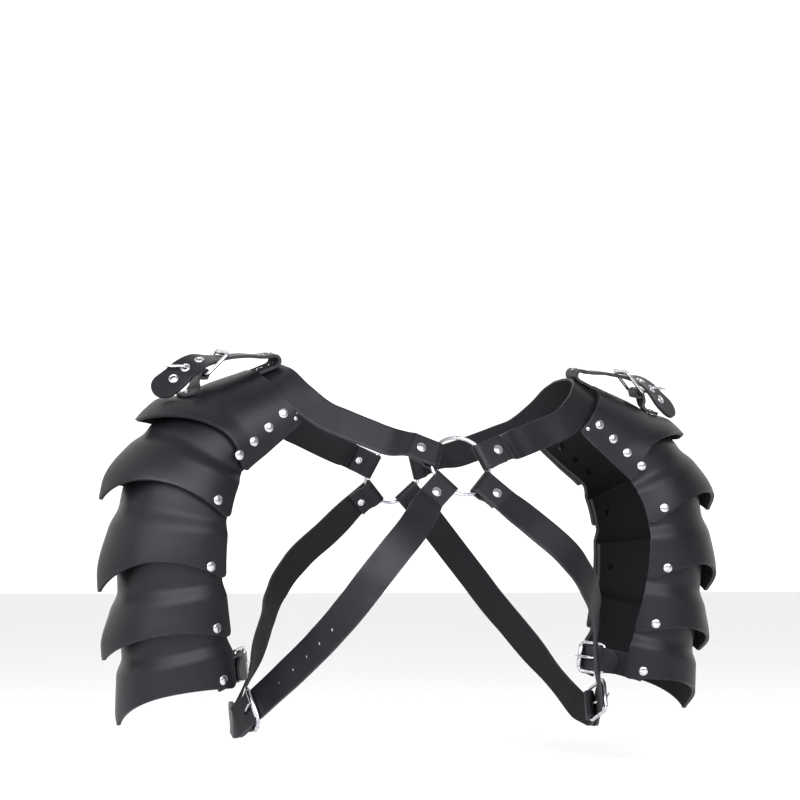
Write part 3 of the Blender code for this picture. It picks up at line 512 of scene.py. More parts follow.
@dataclass
class Run:
    """A strap's middle path, with the way its outer face looks at each point."""

    points: list[Vector]
    faces: list[Vector]

    @classmethod
    def through(cls, knots: Sequence[tuple[Vector, Vector]], step: float) -> "Run":
        """Make a smooth run through knots.

        Args:
            knots: Points of the path with their face directions.
            step: The distance between the run's points.

        Returns:
            The run, its faces blended between the knots.
        """
        path = smooth_path([where for where, _ in knots], step)
        faces = []
        for point in path:
            total = Vector()
            for where, face in knots:
                total += face / ((point - where).length + 0.002) ** 3
            faces.append(total.normalized())
        return cls(path, faces)

    def joined(self, other: "Run") -> "Run":
        """Return this run with another one after it, whose first point it shares."""
        return Run(self.points + other.points[1:], self.faces + other.faces[1:])

    def flipped(self) -> "Run":
        """Return the run mirrored from front to back and read from its end."""
        points = [p * MIRROR_DEPTH for p in reversed(self.points)]
        return Run(points, [f * MIRROR_DEPTH for f in reversed(self.faces)])

    def lengths(self) -> list[float]:
        """Return the length of path up to each point.

        Returns:
            The lengths in metres, the first of them 0.
        """
        total = [0.0]
        for first, second in zip(self.points, self.points[1:]):
            total.append(total[-1] + (second - first).length)
        return total

    def at(self, distance: float) -> tuple[Vector, Vector]:
        """Return the point and the face at a length along the path.

        Args:
            distance: The length in metres.

        Returns:
            The point and its face.
        """
        total = self.lengths()
        index = max((i for i in range(len(total) - 1) if total[i] <= distance), default=0)
        share = (distance - total[index]) / max(total[index + 1] - total[index], 1e-9)
        point = self.points[index].lerp(self.points[index + 1], share)
        return point, self.faces[index].lerp(self.faces[index + 1], share).normalized()

    def rounded(self, width: float) -> "Run":
        """Return the run with the closer points that its round tail needs.

        Args:
            width: The strap's width.

        Returns:
            The finer run.
        """
        total = self.lengths()
        start = total[-1] - width / 2.0
        kept = [i for i, run in enumerate(total) if run < start - 0.0005]
        points = [self.points[i] for i in kept]
        faces = [self.faces[i] for i in kept]
        for step in range(13):
            angle = math.radians(82.0) * step / 12
            point, face = self.at(start + width / 2.0 * math.sin(angle))
            points.append(point)
            faces.append(face)
        return Run(points, faces)

    def grid(self, width: Callable[[Vector], float], columns: int = 12,
             round_end: bool = False) -> Grid:
        """Return rows of middle points across the strap.

        Args:
            width: The strap's width at a point of its path.
            columns: How many cells lie across it.
            round_end: Whether the far end is a round tail.

        Returns:
            The rows, from the first point of the path to the last.
        """
        total = self.lengths()
        length = total[-1] + (width(self.points[-1]) / 2.0 * (1.0 - math.sin(math.radians(82.0)))
                              if round_end else 0.0)
        rows: Grid = []
        last = len(self.points) - 1
        for index, (point, face) in enumerate(zip(self.points, self.faces)):
            along = self.points[min(index + 1, last)] - self.points[max(index - 1, 0)]
            across = face.cross(along).normalized()
            half = width(point) / 2.0
            left = length - total[index]
            if round_end and left < half:
                half *= math.sqrt(max(1.0 - (1.0 - left / half) ** 2, 0.01))
            rows.append([point + across * half * (2.0 * i / columns - 1.0) for i in range(columns + 1)])
        return rows


def sheet(grid: Grid, thickness: float, softness: float = STOCK.softness) -> bmesh.types.BMesh:
    """Make a closed leather sheet about a grid of middle points.

    Args:
        grid: Rows of points, seen from outside with the rows running down and the
            points running across.
        thickness: The leather's thickness.
        softness: How far the cut edges are rounded over.

    Returns:
        The sheet, with its grain, flesh and edge faces told apart and each point's
        distance from the cut edge kept as "rim".
    """
    rows, columns = len(grid) - 1, len(grid[0]) - 1
    data = bmesh.new()
    cell = data.verts.layers.int.new("cell")
    rim = data.verts.layers.float.new("rim")
    bmesh.ops.create_grid(data, x_segments=columns, y_segments=rows, size=1.0)
    down = edge_lengths([[grid[i][j] for i in range(rows + 1)] for j in range(columns + 1)])
    across = edge_lengths(grid)
    normals: dict[int, Vector] = {}
    for vert in data.verts:
        j = round((vert.co.x + 1.0) / 2.0 * columns)
        i = round((vert.co.y + 1.0) / 2.0 * rows)
        span = grid[min(i + 1, rows)][j] - grid[max(i - 1, 0)][j]
        reach = grid[i][min(j + 1, columns)] - grid[i][max(j - 1, 0)]
        vert[cell] = i * (columns + 1) + j
        vert[rim] = min(across[i][j], down[j][i])
        normals[vert[cell]] = span.cross(reach).normalized()
        vert.co = grid[i][j] + normals[vert[cell]] * thickness / 2.0
    outer = list(data.faces)
    made = bmesh.ops.extrude_face_region(data, geom=outer, use_keep_orig=True)["geom"]
    for face in data.faces:
        face.material_index = Layer.EDGE.value
    for item in made:
        if isinstance(item, bmesh.types.BMVert):
            item.co -= normals[item[cell]] * thickness
        elif isinstance(item, bmesh.types.BMFace):
            item.material_index = Layer.FLESH.value
    for face in outer:
        face.material_index = Layer.GRAIN.value
    face_out(data)
    corners = [e for e in data.edges if len({f.material_index for f in e.link_faces}) > 1]
    bmesh.ops.bevel(data, geom=corners, offset=softness, offset_type="OFFSET", segments=3,
                    profile=0.5, affect="EDGES", clamp_overlap=True, material=-1)
    data.verts.layers.int.remove(data.verts.layers.int["cell"])
    return data


def edge_lengths(lines: Grid) -> list[list[float]]:
    """Return how far each point of each line lies from the line's nearer end.

    Args:
        lines: Lines of points.

    Returns:
        The distances, line by line.
    """
    result = []
    for line in lines:
        run = [0.0]
        for first, second in zip(line, line[1:]):
            run.append(run[-1] + (second - first).length)
        result.append([min(at, run[-1] - at) for at in run])
    return result


def face_out(data: bmesh.types.BMesh) -> bmesh.types.BMesh:
    """Turn the faces of a closed mesh outward and return it.

    Args:
        data: A closed mesh, which is changed.

    Returns:
        The same mesh.
    """
    bmesh.ops.recalc_face_normals(data, faces=data.faces)
    if data.calc_volume(signed=True) < 0.0:
        bmesh.ops.reverse_faces(data, faces=data.faces)
    return data


def bar(path: Sequence[Vector], radii: float | Sequence[float], closed: bool = False,
        sides: int = 16) -> bmesh.types.BMesh:
    """Make a round bar along a path.

    Args:
        path: The bar's middle points.
        radii: One radius, or one for each point.
        closed: Whether the bar's end meets its start.
        sides: How many faces go round it.

    Returns:
        The closed bar.
    """
    line = list(path) + ([path[0]] if closed else [])
    sizes = [radii] * len(line) if isinstance(radii, float) else list(radii)
    last = len(line) - 1
    frames = []
    normal = None
    for index in range(last + 1):
        before = line[-2] if closed and index == 0 else line[max(index - 1, 0)]
        after = line[1] if closed and index == last else line[min(index + 1, last)]
        along = (after - before).normalized()
        if normal is None:
            normal = along.orthogonal()
        normal = (normal - along * normal.dot(along)).normalized()
        frames.append((normal, along.cross(normal)))
    if closed:
        frames[last] = frames[0]
    data = bmesh.new()
    bmesh.ops.create_grid(data, x_segments=sides, y_segments=last, size=1.0)
    for vert in data.verts:
        i = round((vert.co.y + 1.0) / 2.0 * last)
        angle = math.pi * (vert.co.x + 1.0)
        first, second = frames[i]
        vert.co = line[i] + (first * math.cos(angle) + second * math.sin(angle)) * sizes[i]
    bmesh.ops.remove_doubles(data, verts=data.verts, dist=1e-6)
    if not closed:
        bmesh.ops.holes_fill(data, edges=[e for e in data.edges if e.is_boundary], sides=0)
    return face_out(data)


def turned(profile: Profile, centre: Vector, axis: Vector, closed: bool = False,
           steps: int = 28) -> bmesh.types.BMesh:
    """Spin a profile round an axis.

    Args:
        profile: Radius and height of each point.
        centre: Where the height is 0.
        axis: The upward direction.
        closed: Whether the profile's end meets its start.
        steps: How many faces go round.

    Returns:
        The closed turned shape.
    """
    spoke = axis.orthogonal().normalized()
    data = bmesh.new()
    verts = [data.verts.new(centre + spoke * r + axis * h) for r, h in profile]
    pairs = list(zip(verts, verts[1:])) + ([(verts[-1], verts[0])] if closed else [])
    edges = [data.edges.new(pair) for pair in pairs]
    bmesh.ops.spin(data, geom=verts + edges, cent=centre, axis=axis, dvec=(0.0, 0.0, 0.0),
                   angle=2.0 * math.pi, steps=steps, use_merge=True, use_duplicate=False)
    bmesh.ops.remove_doubles(data, verts=data.verts, dist=1e-6)
    return face_out(data)


def merged(parts: Sequence[bmesh.types.BMesh]) -> bmesh.types.BMesh:
    """Return one bmesh that holds several, which are freed.

    Args:
        parts: The meshes.

    Returns:
        The whole.
    """
    whole = bmesh.new()
    for part in parts:
        mesh = bpy.data.meshes.new("part")
        part.to_mesh(mesh)
        part.free()
        whole.from_mesh(mesh)
        bpy.data.meshes.remove(mesh)
    return whole


@dataclass(frozen=True)
class Rivet:
    """A double-capped rivet: a low domed cap, its shank and its washer."""

    cap: float = 0.0040
    rise: float = 0.0015
    shank: float = 0.0014
    washer: float = 0.0030
    washer_rise: float = 0.0007
    lip: float = 0.0003

    def build(self, centre: Vector, axis: Vector, above: float, below: float) -> bmesh.types.BMesh:
        """Make the rivet.

        Args:
            centre: A point on its axis, inside the leather.
            axis: The way its cap faces.
            above: How far the cap's seat lies above the centre.
            below: How far the washer's seat lies below it.

        Returns:
            The rivet's mesh.
        """
        profile = [(0.0, above + self.rise)]
        for degrees in (14.0, 28.0, 42.0, 56.0, 70.0, 82.0):
            angle = math.radians(degrees)
            height = self.lip + (self.rise - self.lip) * math.cos(angle)
            profile.append((self.cap * math.sin(angle) ** 0.9, above + height))
        profile += [(self.cap, above + 0.0002), (self.cap * 0.97, above)]
        profile += [(self.shank, above), (self.shank, -below)]
        profile += [(self.washer, -below), (self.washer, -below - self.washer_rise * 0.6)]
        profile += [(self.washer * 0.7, -below - self.washer_rise), (0.0, -below - self.washer_rise)]
        return turned(profile, centre, axis)


@dataclass(frozen=True)
class Eyelet:
    """A rolled metal eyelet that lines a hole."""

    outer: float = 0.0041
    inner: float = 0.0023
    rise: float = 0.0008
    wall: float = 0.0003

    def build(self, centre: Vector, axis: Vector, half: float) -> list[bmesh.types.BMesh]:
        """Make the eyelet.

        Args:
            centre: The middle of the leather's hole.
            axis: The way its rolled flange faces.
            half: Half the leather's thickness.

        Returns:
            The flange with its barrel, and the washer on the back.
        """
        middle = (self.outer + self.inner) / 2.0
        flange = [(self.inner, -half), (self.inner, half + self.rise * 0.5),
                  (self.inner + self.wall, half + self.rise * 0.9), (middle, half + self.rise),
                  (self.outer - self.wall, half + self.rise * 0.6), (self.outer, half),
                  (self.inner + self.wall, half), (self.inner + self.wall, -half)]
        washer = [(self.inner, -half), (self.inner + 0.0002, -half - self.rise * 0.6),
                  (middle, -half - self.rise * 0.7), (self.outer * 0.95, -half - 0.0001),
                  (self.outer * 0.95, -half)]
        return [turned(flange, centre, axis, closed=True), turned(washer, centre, axis, closed=True)]


@dataclass(frozen=True)
class Hoop:
    """One hoop of the shoulder and arm that the plates follow.

    Across and down are shares of the form's reach and drop; the half gap between the
    ends, the half depth and the backward shift are shares of its radius.
    """

    at: float
    apex_across: float
    apex_down: float
    end_across: float
    end_down: float
    end_gap: float
    depth: float
    back: float


@dataclass(frozen=True)
class ArmForm:
    """The shoulder and upper arm that a guard closes round."""

    reach: float = 0.2580
    drop: float = 0.2830
    radius: float = 0.0470
    hoops: tuple[Hoop, ...] = (
        Hoop(-0.5, 0.519, 0.012, 0.434, -0.071, 0.830, 0.850, 0.085),
        Hoop(0.0, 0.603, -0.021, 0.494, -0.151, 0.890, 0.920, 0.105),
        Hoop(0.5, 0.775, -0.085, 0.589, -0.228, 0.890, 0.960, 0.085),
        Hoop(1.0, 0.915, -0.182, 0.684, -0.302, 0.880, 1.000, 0.040),
        Hoop(2.0, 0.998, -0.389, 0.736, -0.438, 0.960, 1.050, 0.000),
        Hoop(3.0, 0.996, -0.629, 0.740, -0.599, 0.900, 1.030, 0.085),
        Hoop(4.0, 0.975, -0.816, 0.713, -0.758, 0.800, 1.000, 0.190),
        Hoop(5.0, 0.969, -1.000, 0.686, -0.898, 0.720, 0.970, 0.270),
    )

    def sizes(self, place: float) -> tuple[Vector, Vector, float, float]:
        """Return a hoop's outermost point, its ends' middle, half gap and half depth.

        Args:
            place: The place along the arm, in plates.

        Returns:
            The outermost point, the middle of the ends, the half gap and the half depth.
        """
        keys = [hoop.at for hoop in self.hoops]

        def read(name: str) -> float:
            """Return one of the hoop's shares at the place."""
            return curve_value(keys, [getattr(hoop, name) for hoop in self.hoops], place)

        back = read("back") * self.radius
        apex = Vector((read("apex_across") * self.reach, back, read("apex_down") * self.drop))
        end = Vector((read("end_across") * self.reach, back, read("end_down") * self.drop))
        return apex, end, read("end_gap") * self.radius, read("depth") * self.radius

    def point(self, turn: float, place: float) -> Vector:
        """Return the form's point at a turn from back (-1) to front (1).

        Args:
            turn: The turn, from the back (-1) to the front (1).
            place: The place along the arm, in plates.

        Returns:
            The point.
        """
        apex, end, gap, depth = self.sizes(place)
        wrap = math.pi - math.asin(min(gap / depth, 1.0))
        out = apex - end
        radius = out.length / (1.0 - math.cos(wrap))
        angle = turn * wrap
        point = apex + out.normalized() * radius * (math.cos(angle) - 1.0)
        return point + Vector((0.0, -depth * math.sin(angle), 0.0))

    def normal(self, turn: float, place: float) -> Vector:
        """Return the form's outward direction.

        Args:
            turn: The turn, from the back (-1) to the front (1).
            place: The place along the arm, in plates.

        Returns:
            The direction, of unit length.
        """
        small = 0.01
        along_turn = self.point(turn + small, place) - self.point(turn - small, place)
        along_place = self.point(turn, place + small) - self.point(turn, place - small)
        return along_turn.cross(along_place).normalized()

    def pitch(self, turn: float, place: float) -> float:
        """Return the length of arm between one plate edge and the next."""
        return (self.point(turn, place) - self.point(turn, place - 1.0)).length


FORM = ArmForm()


@dataclass(frozen=True)
class Plate:
    """One curved plate of a guard, as it lies on the arm."""

    number: int
    flare: float
    flare_from: float
    arch: float
    arch_peak: float
    cover_ends: float
    cover_middle: float
    ramp: float = 0.28
    edge_rivet: float = 0.0130
    rivet_rise: float = 0.0120
    front_rivets: tuple[float, ...] = (0.14, 0.37, 0.61, 0.84)

    def low(self, turn: float) -> float:
        """Return where the lower edge runs, as a place along the arm.

        Args:
            turn: The turn, from the back (-1) to the front (1).

        Returns:
            The place along the arm, in plates.
        """
        across = abs(turn)
        rise = self.arch * math.sin(math.pi * across ** (math.log(0.5) / math.log(self.arch_peak)))
        corner = self.corner_turn()
        if across > corner:
            part = (across - corner) / (1.0 - corner)
            rise += STOCK.corner * (1.0 - math.sqrt(max(1.0 - part * part, 0.0)))
        return self.number - rise / FORM.pitch(turn, self.number)

    def corner_turn(self) -> float:
        """Return the turn at which the lower corners' rounding starts."""
        half = (FORM.point(1.0, self.number) - FORM.point(0.5, self.number)).length * 2.0
        return 1.0 - STOCK.corner / half

    def top(self, turn: float) -> float:
        """Return where the upper edge runs, under the upper neighbour.

        Args:
            turn: The turn, from the back (-1) to the front (1).

        Returns:
            The place along the arm, in plates.
        """
        share = abs(turn) ** 1.5
        cover = self.cover_middle * (1.0 - share) + self.cover_ends * share
        return self.number - 1.0 - cover

    def lift(self, turn: float, place: float) -> float:
        """Return how far the inner face stands off the arm.

        Args:
            turn: The turn, from the back (-1) to the front (1).
            place: The place along the arm, in plates.

        Returns:
            The height in metres.
        """
        layer = STOCK.plate + STOCK.layer_gap
        run = place - (self.number - 1.0)
        if self.number > 1:
            layer *= smooth_step(run / self.ramp)
        flare = self.flare * (1.0 - abs(turn)) ** 1.2
        return layer + flare * smooth_step((run - self.flare_from) / (0.8 - self.flare_from))

    def point(self, turn: float, place: float) -> Vector:
        """Return the middle of the plate's thickness."""
        lift = self.lift(turn, place) + STOCK.plate / 2.0
        return FORM.point(turn, place) + FORM.normal(turn, place) * lift

    def normal(self, turn: float, place: float) -> Vector:
        """Return the plate's outward direction.

        Args:
            turn: The turn, from the back (-1) to the front (1).
            place: The place along the arm, in plates.

        Returns:
            The direction, of unit length.
        """
        small = 0.02
        across = self.point(turn + small, place) - self.point(turn - small, place)
        down = self.point(turn, place + small) - self.point(turn, place - small)
        return across.cross(down).normalized()

    def seats(self) -> list[tuple[float, float]]:
        """Return the turn and place of each rivet along the front edge.

        Returns:
            The turn and the place of each rivet.
        """
        if self.number == 1:
            return [(self.rivet_turn(place), place) for place in self.front_rivets]
        place = self.number - self.rivet_rise / FORM.pitch(1.0, self.number)
        return [(self.rivet_turn(place), place)]

    def rivet_turn(self, place: float) -> float:
        """Return the turn at which a rivet stands in from the plate's edge."""
        half = (FORM.point(1.0, place) - FORM.point(0.5, place)).length * 2.0
        return 1.0 - self.edge_rivet / half

    def grid(self, rows: int = 44, across: int = 34) -> Grid:
        """Return the plate's middle points, from its upper edge to its lower.

        Args:
            rows: Cells from edge to edge.
            across: Cells from the middle to where a corner starts.

        Returns:
            Rows of points, the front end of each first.
        """
        corner = self.corner_turn()
        turns = [corner * i / across for i in range(across + 1)]
        turns += [corner + (1.0 - corner) * math.sin(math.pi / 2.0 * i / 10) for i in range(1, 11)]
        turns = [-turn for turn in reversed(turns[1:])] + turns
        columns = []
        for turn in turns:
            top, low = self.top(turn), self.low(turn)
            columns.append([self.point(turn, top + (low - top) * row / rows) for row in range(rows + 1)])
        return [list(row) for row in zip(*reversed(columns))]


PLATES = (
    Plate(1, 0.009, 0.55, 0.020, 0.62, 0.00, 0.00),
    Plate(2, 0.014, 0.05, 0.018, 0.45, 0.93, 0.66),
    Plate(3, 0.013, 0.05, 0.021, 0.45, 0.70, 0.70),
    Plate(4, 0.013, 0.05, 0.016, 0.45, 0.70, 0.70),
    Plate(5, 0.001, 0.05, 0.016, 0.42, 0.70, 0.66),
)


@dataclass(frozen=True)
class Guard:
    """The plates of one shoulder and their rivets."""

    side: Side
    rivet: Rivet = Rivet()
    corner_rivet: Rivet = Rivet(cap=0.0017, rise=0.0008, shank=0.0008, washer=0.0012)
    corner_seat: tuple[float, float] = (0.93, 0.05)

    def build(self, shop: Workshop) -> None:
        """Make the plates and the rivets along their front and back edges.

        Args:
            shop: Takes the pieces.
        """
        word = self.side.word
        count = 0
        for shape in PLATES:
            node = f"plate_{shape.number}_{word}"
            data = sheet(shape.grid(), STOCK.plate)
            shop.deliver(f"{node}_leather", data, Slot.LEATHER, self.side, [node])
            for turn, place in shape.seats():
                count += 1
                node = f"plate_rivet_{count}_{word}"
                data = self.rivet_mesh(self.rivet, shape, turn, place)
                shop.deliver(f"{node}_cap", data, Slot.NICKEL, self.side, [node])
                data = self.rivet_mesh(self.rivet, shape, -turn, place)
                shop.deliver(f"back_plate_rivet_{count}_{word}", data, Slot.NICKEL, self.side)
        data = self.rivet_mesh(self.corner_rivet, PLATES[0], *self.corner_seat)
        shop.deliver(f"corner_rivet_{word}", data, Slot.NICKEL, self.side)

    def rivet_mesh(self, rivet: Rivet, shape: Plate, turn: float,
                   place: float) -> bmesh.types.BMesh:
        """Return one rivet through a plate and its lower neighbour.

        Args:
            rivet: The kind of rivet.
            shape: The plate that its cap sits on.
            turn: The turn, from the back (-1) to the front (1).
            place: The place along the arm, in plates.

        Returns:
            The rivet.
        """
        half = STOCK.plate / 2.0
        below = shape.lift(turn, place) + half
        return rivet.build(shape.point(turn, place), shape.normal(turn, place), half, below)


@dataclass(frozen=True)
class Place:
    """One place along a strap: across, back and up as shares, and its face's way."""

    across: float
    back: float
    down: float
    face: tuple[float, float, float]

    def knot(self, reach: float, depth: float, drop: float) -> tuple[Vector, Vector]:
        """Return the place in metres and its outward face."""
        point = Vector((self.across * reach, self.back * depth, self.down * drop))
        return point, Vector(self.face).normalized()


def fold(origin: Vector, along: Vector, face: Vector, returned: float, bar_radius: float,
         room: float = 0.0, start: float = 0.0106) -> Run:
    """Return a strap end folded round a bar.

    Args:
        origin: The bar's middle.
        along: The way the strap leaves.
        face: The way its outer face looks.
        returned: How long the inner layer is.
        bar_radius: The bar's radius.
        room: How far along the strap a curved bar's ends lie from its middle.
        start: Where the inner layer starts to leave the outer one.

    Returns:
        The run from the inner layer's end to the start of the outer layer.
    """
    bend = bar_radius + STOCK.clearance + STOCK.strap / 2.0
    flat = bend - STOCK.strap - STOCK.clearance
    start = min(start, returned * 0.75)
    low = Vector((bend + room, 0.0, -bend * 0.9))
    inner = [Vector((returned, 0.0, flat)), Vector((start, 0.0, flat)), low]
    section = smooth_path(inner, BEND_STEP)
    for step in range(1, 17):
        angle = math.radians(-90.0 - 180.0 * step / 16)
        section.append(Vector((bend * math.cos(angle), 0.0, bend * math.sin(angle))))
    path = [origin + along * p.x + face * p.z for p in section]
    return level_run(path, face.cross(along))


def fold_level(bar_radius: float = WIRE.ring) -> float:
    """Return how far a folded strap's outer layer stands off the bar it holds."""
    return bar_radius + STOCK.clearance + STOCK.strap / 2.0


@dataclass(frozen=True)
class ChestRing:
    """One of the two rings that four straps loop through."""

    back: bool
    radius: float = 0.0251
    lean: float = math.radians(20.5)
    depth: float = 0.0722
    drop: float = 0.0780
    returned: float = 0.0190
    straight: float = 0.0220
    rivet_reach: float = 0.0140
    fold_share: float = 0.88

    def frame(self) -> tuple[Vector, Vector, Vector]:
        """Return the ring's centre, its upward direction and its outward direction.

        Returns:
            The centre and the two directions.
        """
        way = 1.0 if self.back else -1.0
        centre = Vector((0.0, way * self.depth, -self.drop))
        upward = Vector((0.0, -way * math.sin(self.lean), math.cos(self.lean)))
        return centre, upward, Vector((0.0, way * math.cos(self.lean), math.sin(self.lean)))

    def chord(self) -> float:
        """Return how far from the centre the edges of a folded strap meet the wire."""
        return math.sqrt(self.radius ** 2 - (STOCK.width * self.fold_share / 2.0) ** 2)

    def joint(self, angle: float) -> tuple[Vector, Vector, Vector]:
        """Return where a strap loops round the ring, its way out and its face.

        Args:
            angle: The strap's angle above level, in radians.

        Returns:
            The place, the way out and the face.
        """
        centre, upward, face = self.frame()
        along = Vector((math.cos(angle), 0.0, 0.0)) + upward * math.sin(angle)
        return centre + along * self.chord(), along, face

    def run(self, angle: float) -> Run:
        """Return a strap's fold at the ring, up to past its return.

        Args:
            angle: The strap's angle above level, in radians.

        Returns:
            The run, from the inner layer to the outer.
        """
        origin, along, face = self.joint(angle)
        run = fold(origin, along, face, self.returned, WIRE.ring, self.radius - self.chord())
        for step in range(1, 12):
            run.points.append(origin + along * self.straight * step / 11 + face * fold_level())
            run.faces.append(face.copy())
        return run

    def width(self, point: Vector) -> float:
        """Return a ring strap's width, which narrows to its fold.

        Args:
            point: A point of the strap's middle.

        Returns:
            The width in metres.
        """
        height = Vector((point.x, abs(point.y) - self.depth, point.z + self.drop)).length
        share = smooth_step((height - self.radius - self.rivet_reach) / self.radius)
        return STOCK.width * (self.fold_share + (1.0 - self.fold_share) * share)

    def rivet(self, angle: float) -> bmesh.types.BMesh:
        """Return the rivet that closes a fold.

        Args:
            angle: The strap's angle above level, in radians.

        Returns:
            The rivet.
        """
        origin, along, face = self.joint(angle)
        level = fold_level() - (STOCK.strap + STOCK.clearance) / 2.0
        centre = origin + along * self.rivet_reach + face * level
        half = STOCK.strap + STOCK.clearance / 2.0
        return Rivet().build(centre, face, half, half)

    def wire(self) -> bmesh.types.BMesh:
        """Return the ring's welded wire.

        Returns:
            The ring.
        """
        centre, upward, face = self.frame()
        data = bmesh.new()
        made = bmesh.ops.create_circle(data, cap_ends=False, segments=18, radius=WIRE.ring)
        for vert in made["verts"]:
            vert.co = centre + upward * (self.radius + vert.co.x) + face * vert.co.y
        bmesh.ops.spin(data, geom=[*data.verts, *data.edges], cent=centre, axis=face,
                       dvec=(0.0, 0.0, 0.0), angle=2.0 * math.pi, steps=120, use_merge=True,
                       use_duplicate=False)
        return face_out(data)


FRONT = ChestRing(back=False)
BACK = ChestRing(back=True)


@dataclass(frozen=True)
class Buckle:
    """A roller buckle on a strap, with its heel bar under the strap."""

    centre: Vector
    along: Vector
    face: Vector
    width: float
    length: float = 0.0200
    hole_shift: float = 0.0038
    returned: float = 0.0050

    def heel_depth(self) -> float:
        """Return how far the heel bar lies below the middle of the strap."""
        return STOCK.strap + 2.0 * STOCK.clearance + fold_level(WIRE.frame)

    def bars(self) -> tuple[Vector, Vector]:
        """Return the middles of the heel bar and of the roller.

        Returns:
            The two middles.
        """
        raised = STOCK.strap / 2.0 + STOCK.clearance + WIRE.roller
        heel = self.centre + self.along * self.length / 2.0 - self.face * self.heel_depth()
        return heel, self.centre - self.along * self.length / 2.0 + self.face * raised

    def fold(self) -> Run:
        """Return the fold of the strap that holds the heel bar."""
        heel, _ = self.bars()
        return fold(heel, self.along, self.face, self.returned, WIRE.frame)

    def prong(self) -> bmesh.types.BMesh:
        """Return the prong, through the strap's hole and onto the roller.

        Returns:
            The prong.
        """
        heel, roller = self.bars()
        rest = (roller - heel).dot(self.face) + WIRE.roller + STOCK.clearance + WIRE.prong
        eye = WIRE.frame + STOCK.clearance + WIRE.prong
        through = self.heel_depth()
        knots = ((0.20, eye + STOCK.clearance), (0.30, through), (0.42, through + STOCK.strap),
                 (0.72, (through + STOCK.strap + rest) / 2.0), (1.00, rest), (1.12, rest - 0.0004))
        points = [heel - self.along * self.length * a + self.face * out for a, out in knots]
        return prong_mesh(heel, self.along, self.face, points)

    def metal(self) -> tuple[bmesh.types.BMesh, bmesh.types.BMesh]:
        """Return the frame and the roller."""
        heel, roller = self.bars()
        return frame_mesh(heel, roller, self.face.cross(self.along), self.width)


def frame_mesh(heel: Vector, roller: Vector, across: Vector,
               width: float) -> tuple[bmesh.types.BMesh, bmesh.types.BMesh]:
    """Make a buckle's frame, a wire bent to a rectangle, and the roller on it.

    Args:
        heel: The heel bar's middle.
        roller: The far bar's middle.
        across: The way the bars run.
        width: The strap's width.

    Returns:
        The frame and the roller.
    """
    bend = 0.0030
    half = width / 2.0 + 2.0 * STOCK.clearance + WIRE.frame
    along = (roller - heel).normalized()
    path = []
    turns = ((heel, along, -across), (heel, along, across),
             (roller, -along, across), (roller, -along, -across))
    for index, (place, inward, outward) in enumerate(turns):
        middle = place + outward * (half - bend) + inward * bend
        for step in range(9):
            angle = math.pi / 2.0 * (step if index % 2 else 8 - step) / 8
            path.append(middle + (outward * math.sin(angle) - inward * math.cos(angle)) * bend)
    sleeve = half - bend - 0.0004
    bore, lip, soft = WIRE.frame + 0.0001, WIRE.roller - 0.0002, sleeve - 0.0003
    tube = [(bore, -sleeve), (lip, -sleeve), (WIRE.roller, -soft),
            (WIRE.roller, soft), (lip, sleeve), (bore, sleeve)]
    return bar(path, WIRE.frame, closed=True), turned(tube, roller, across, closed=True)


def prong_mesh(heel: Vector, along: Vector, face: Vector, points: Sequence[Vector]) -> bmesh.types.BMesh:
    """Make a prong hooked round a heel bar and tapered to its tip.

    Args:
        heel: The heel bar's middle.
        along: A way square to the bar, from which the hook is turned.
        face: The way a quarter turn further.
        points: The path past the hook, to the tip.

    Returns:
        The prong.
    """
    eye = WIRE.frame + STOCK.clearance * 0.5 + WIRE.prong
    hook = []
    for step in range(16):
        angle = math.radians(-150.0 + 240.0 * step / 15)
        hook.append(heel + along * eye * math.cos(angle) + face * eye * math.sin(angle))
    path = hook[:-1] + smooth_path([hook[-1]] + list(points), FINE_STEP)
    last = len(path) - 1
    radii = [WIRE.prong * min(1.0, 0.45 + 0.1 * (last - i)) for i in range(last + 1)]
    return bar(path, radii, sides=12)


def open_holes(piece: bpy.types.Object, holes: Sequence[tuple[Vector, Vector, float]],
               side: Side) -> None:
    """Cut round holes through a leather piece.

    Args:
        piece: The piece that is cut.
        holes: The centre, axis and radius of each hole on the wearer's left.
        side: The side that the piece belongs to.
    """
    reach = STOCK.strap * 1.2
    pins = []
    for centre, axis, radius in holes:
        profile = [(0.0, -reach), (radius, -reach), (radius, reach), (0.0, reach)]
        pins.append(turned(profile, centre, axis, steps=24))
    data = merged(pins)
    if side is Side.RIGHT:
        bmesh.ops.scale(data, vec=(-1.0, 1.0, 1.0), verts=data.verts)
        bmesh.ops.reverse_faces(data, faces=data.faces)
    for face in data.faces:
        face.material_index = Layer.EDGE.value
    mesh = bpy.data.meshes.new("pins")
    data.to_mesh(mesh)
    data.free()
    for material in piece.data.materials:
        mesh.materials.append(material)
    cutter = bpy.data.objects.new("pins", mesh)
    bpy.context.scene.collection.objects.link(cutter)
    cut = piece.modifiers.new("holes", "BOOLEAN")
    cut.operation = "DIFFERENCE"
    cut.solver = "EXACT"
    cut.object = cutter
    bpy.context.view_layer.update()
    graph = bpy.context.evaluated_depsgraph_get()
    made = bpy.data.meshes.new_from_object(piece.evaluated_get(graph))
    piece.modifiers.clear()
    old = piece.data
    piece.data = made
    made.name = piece.name
    bpy.data.meshes.remove(old)
    bpy.data.objects.remove(cutter)
    bpy.data.meshes.remove(mesh)


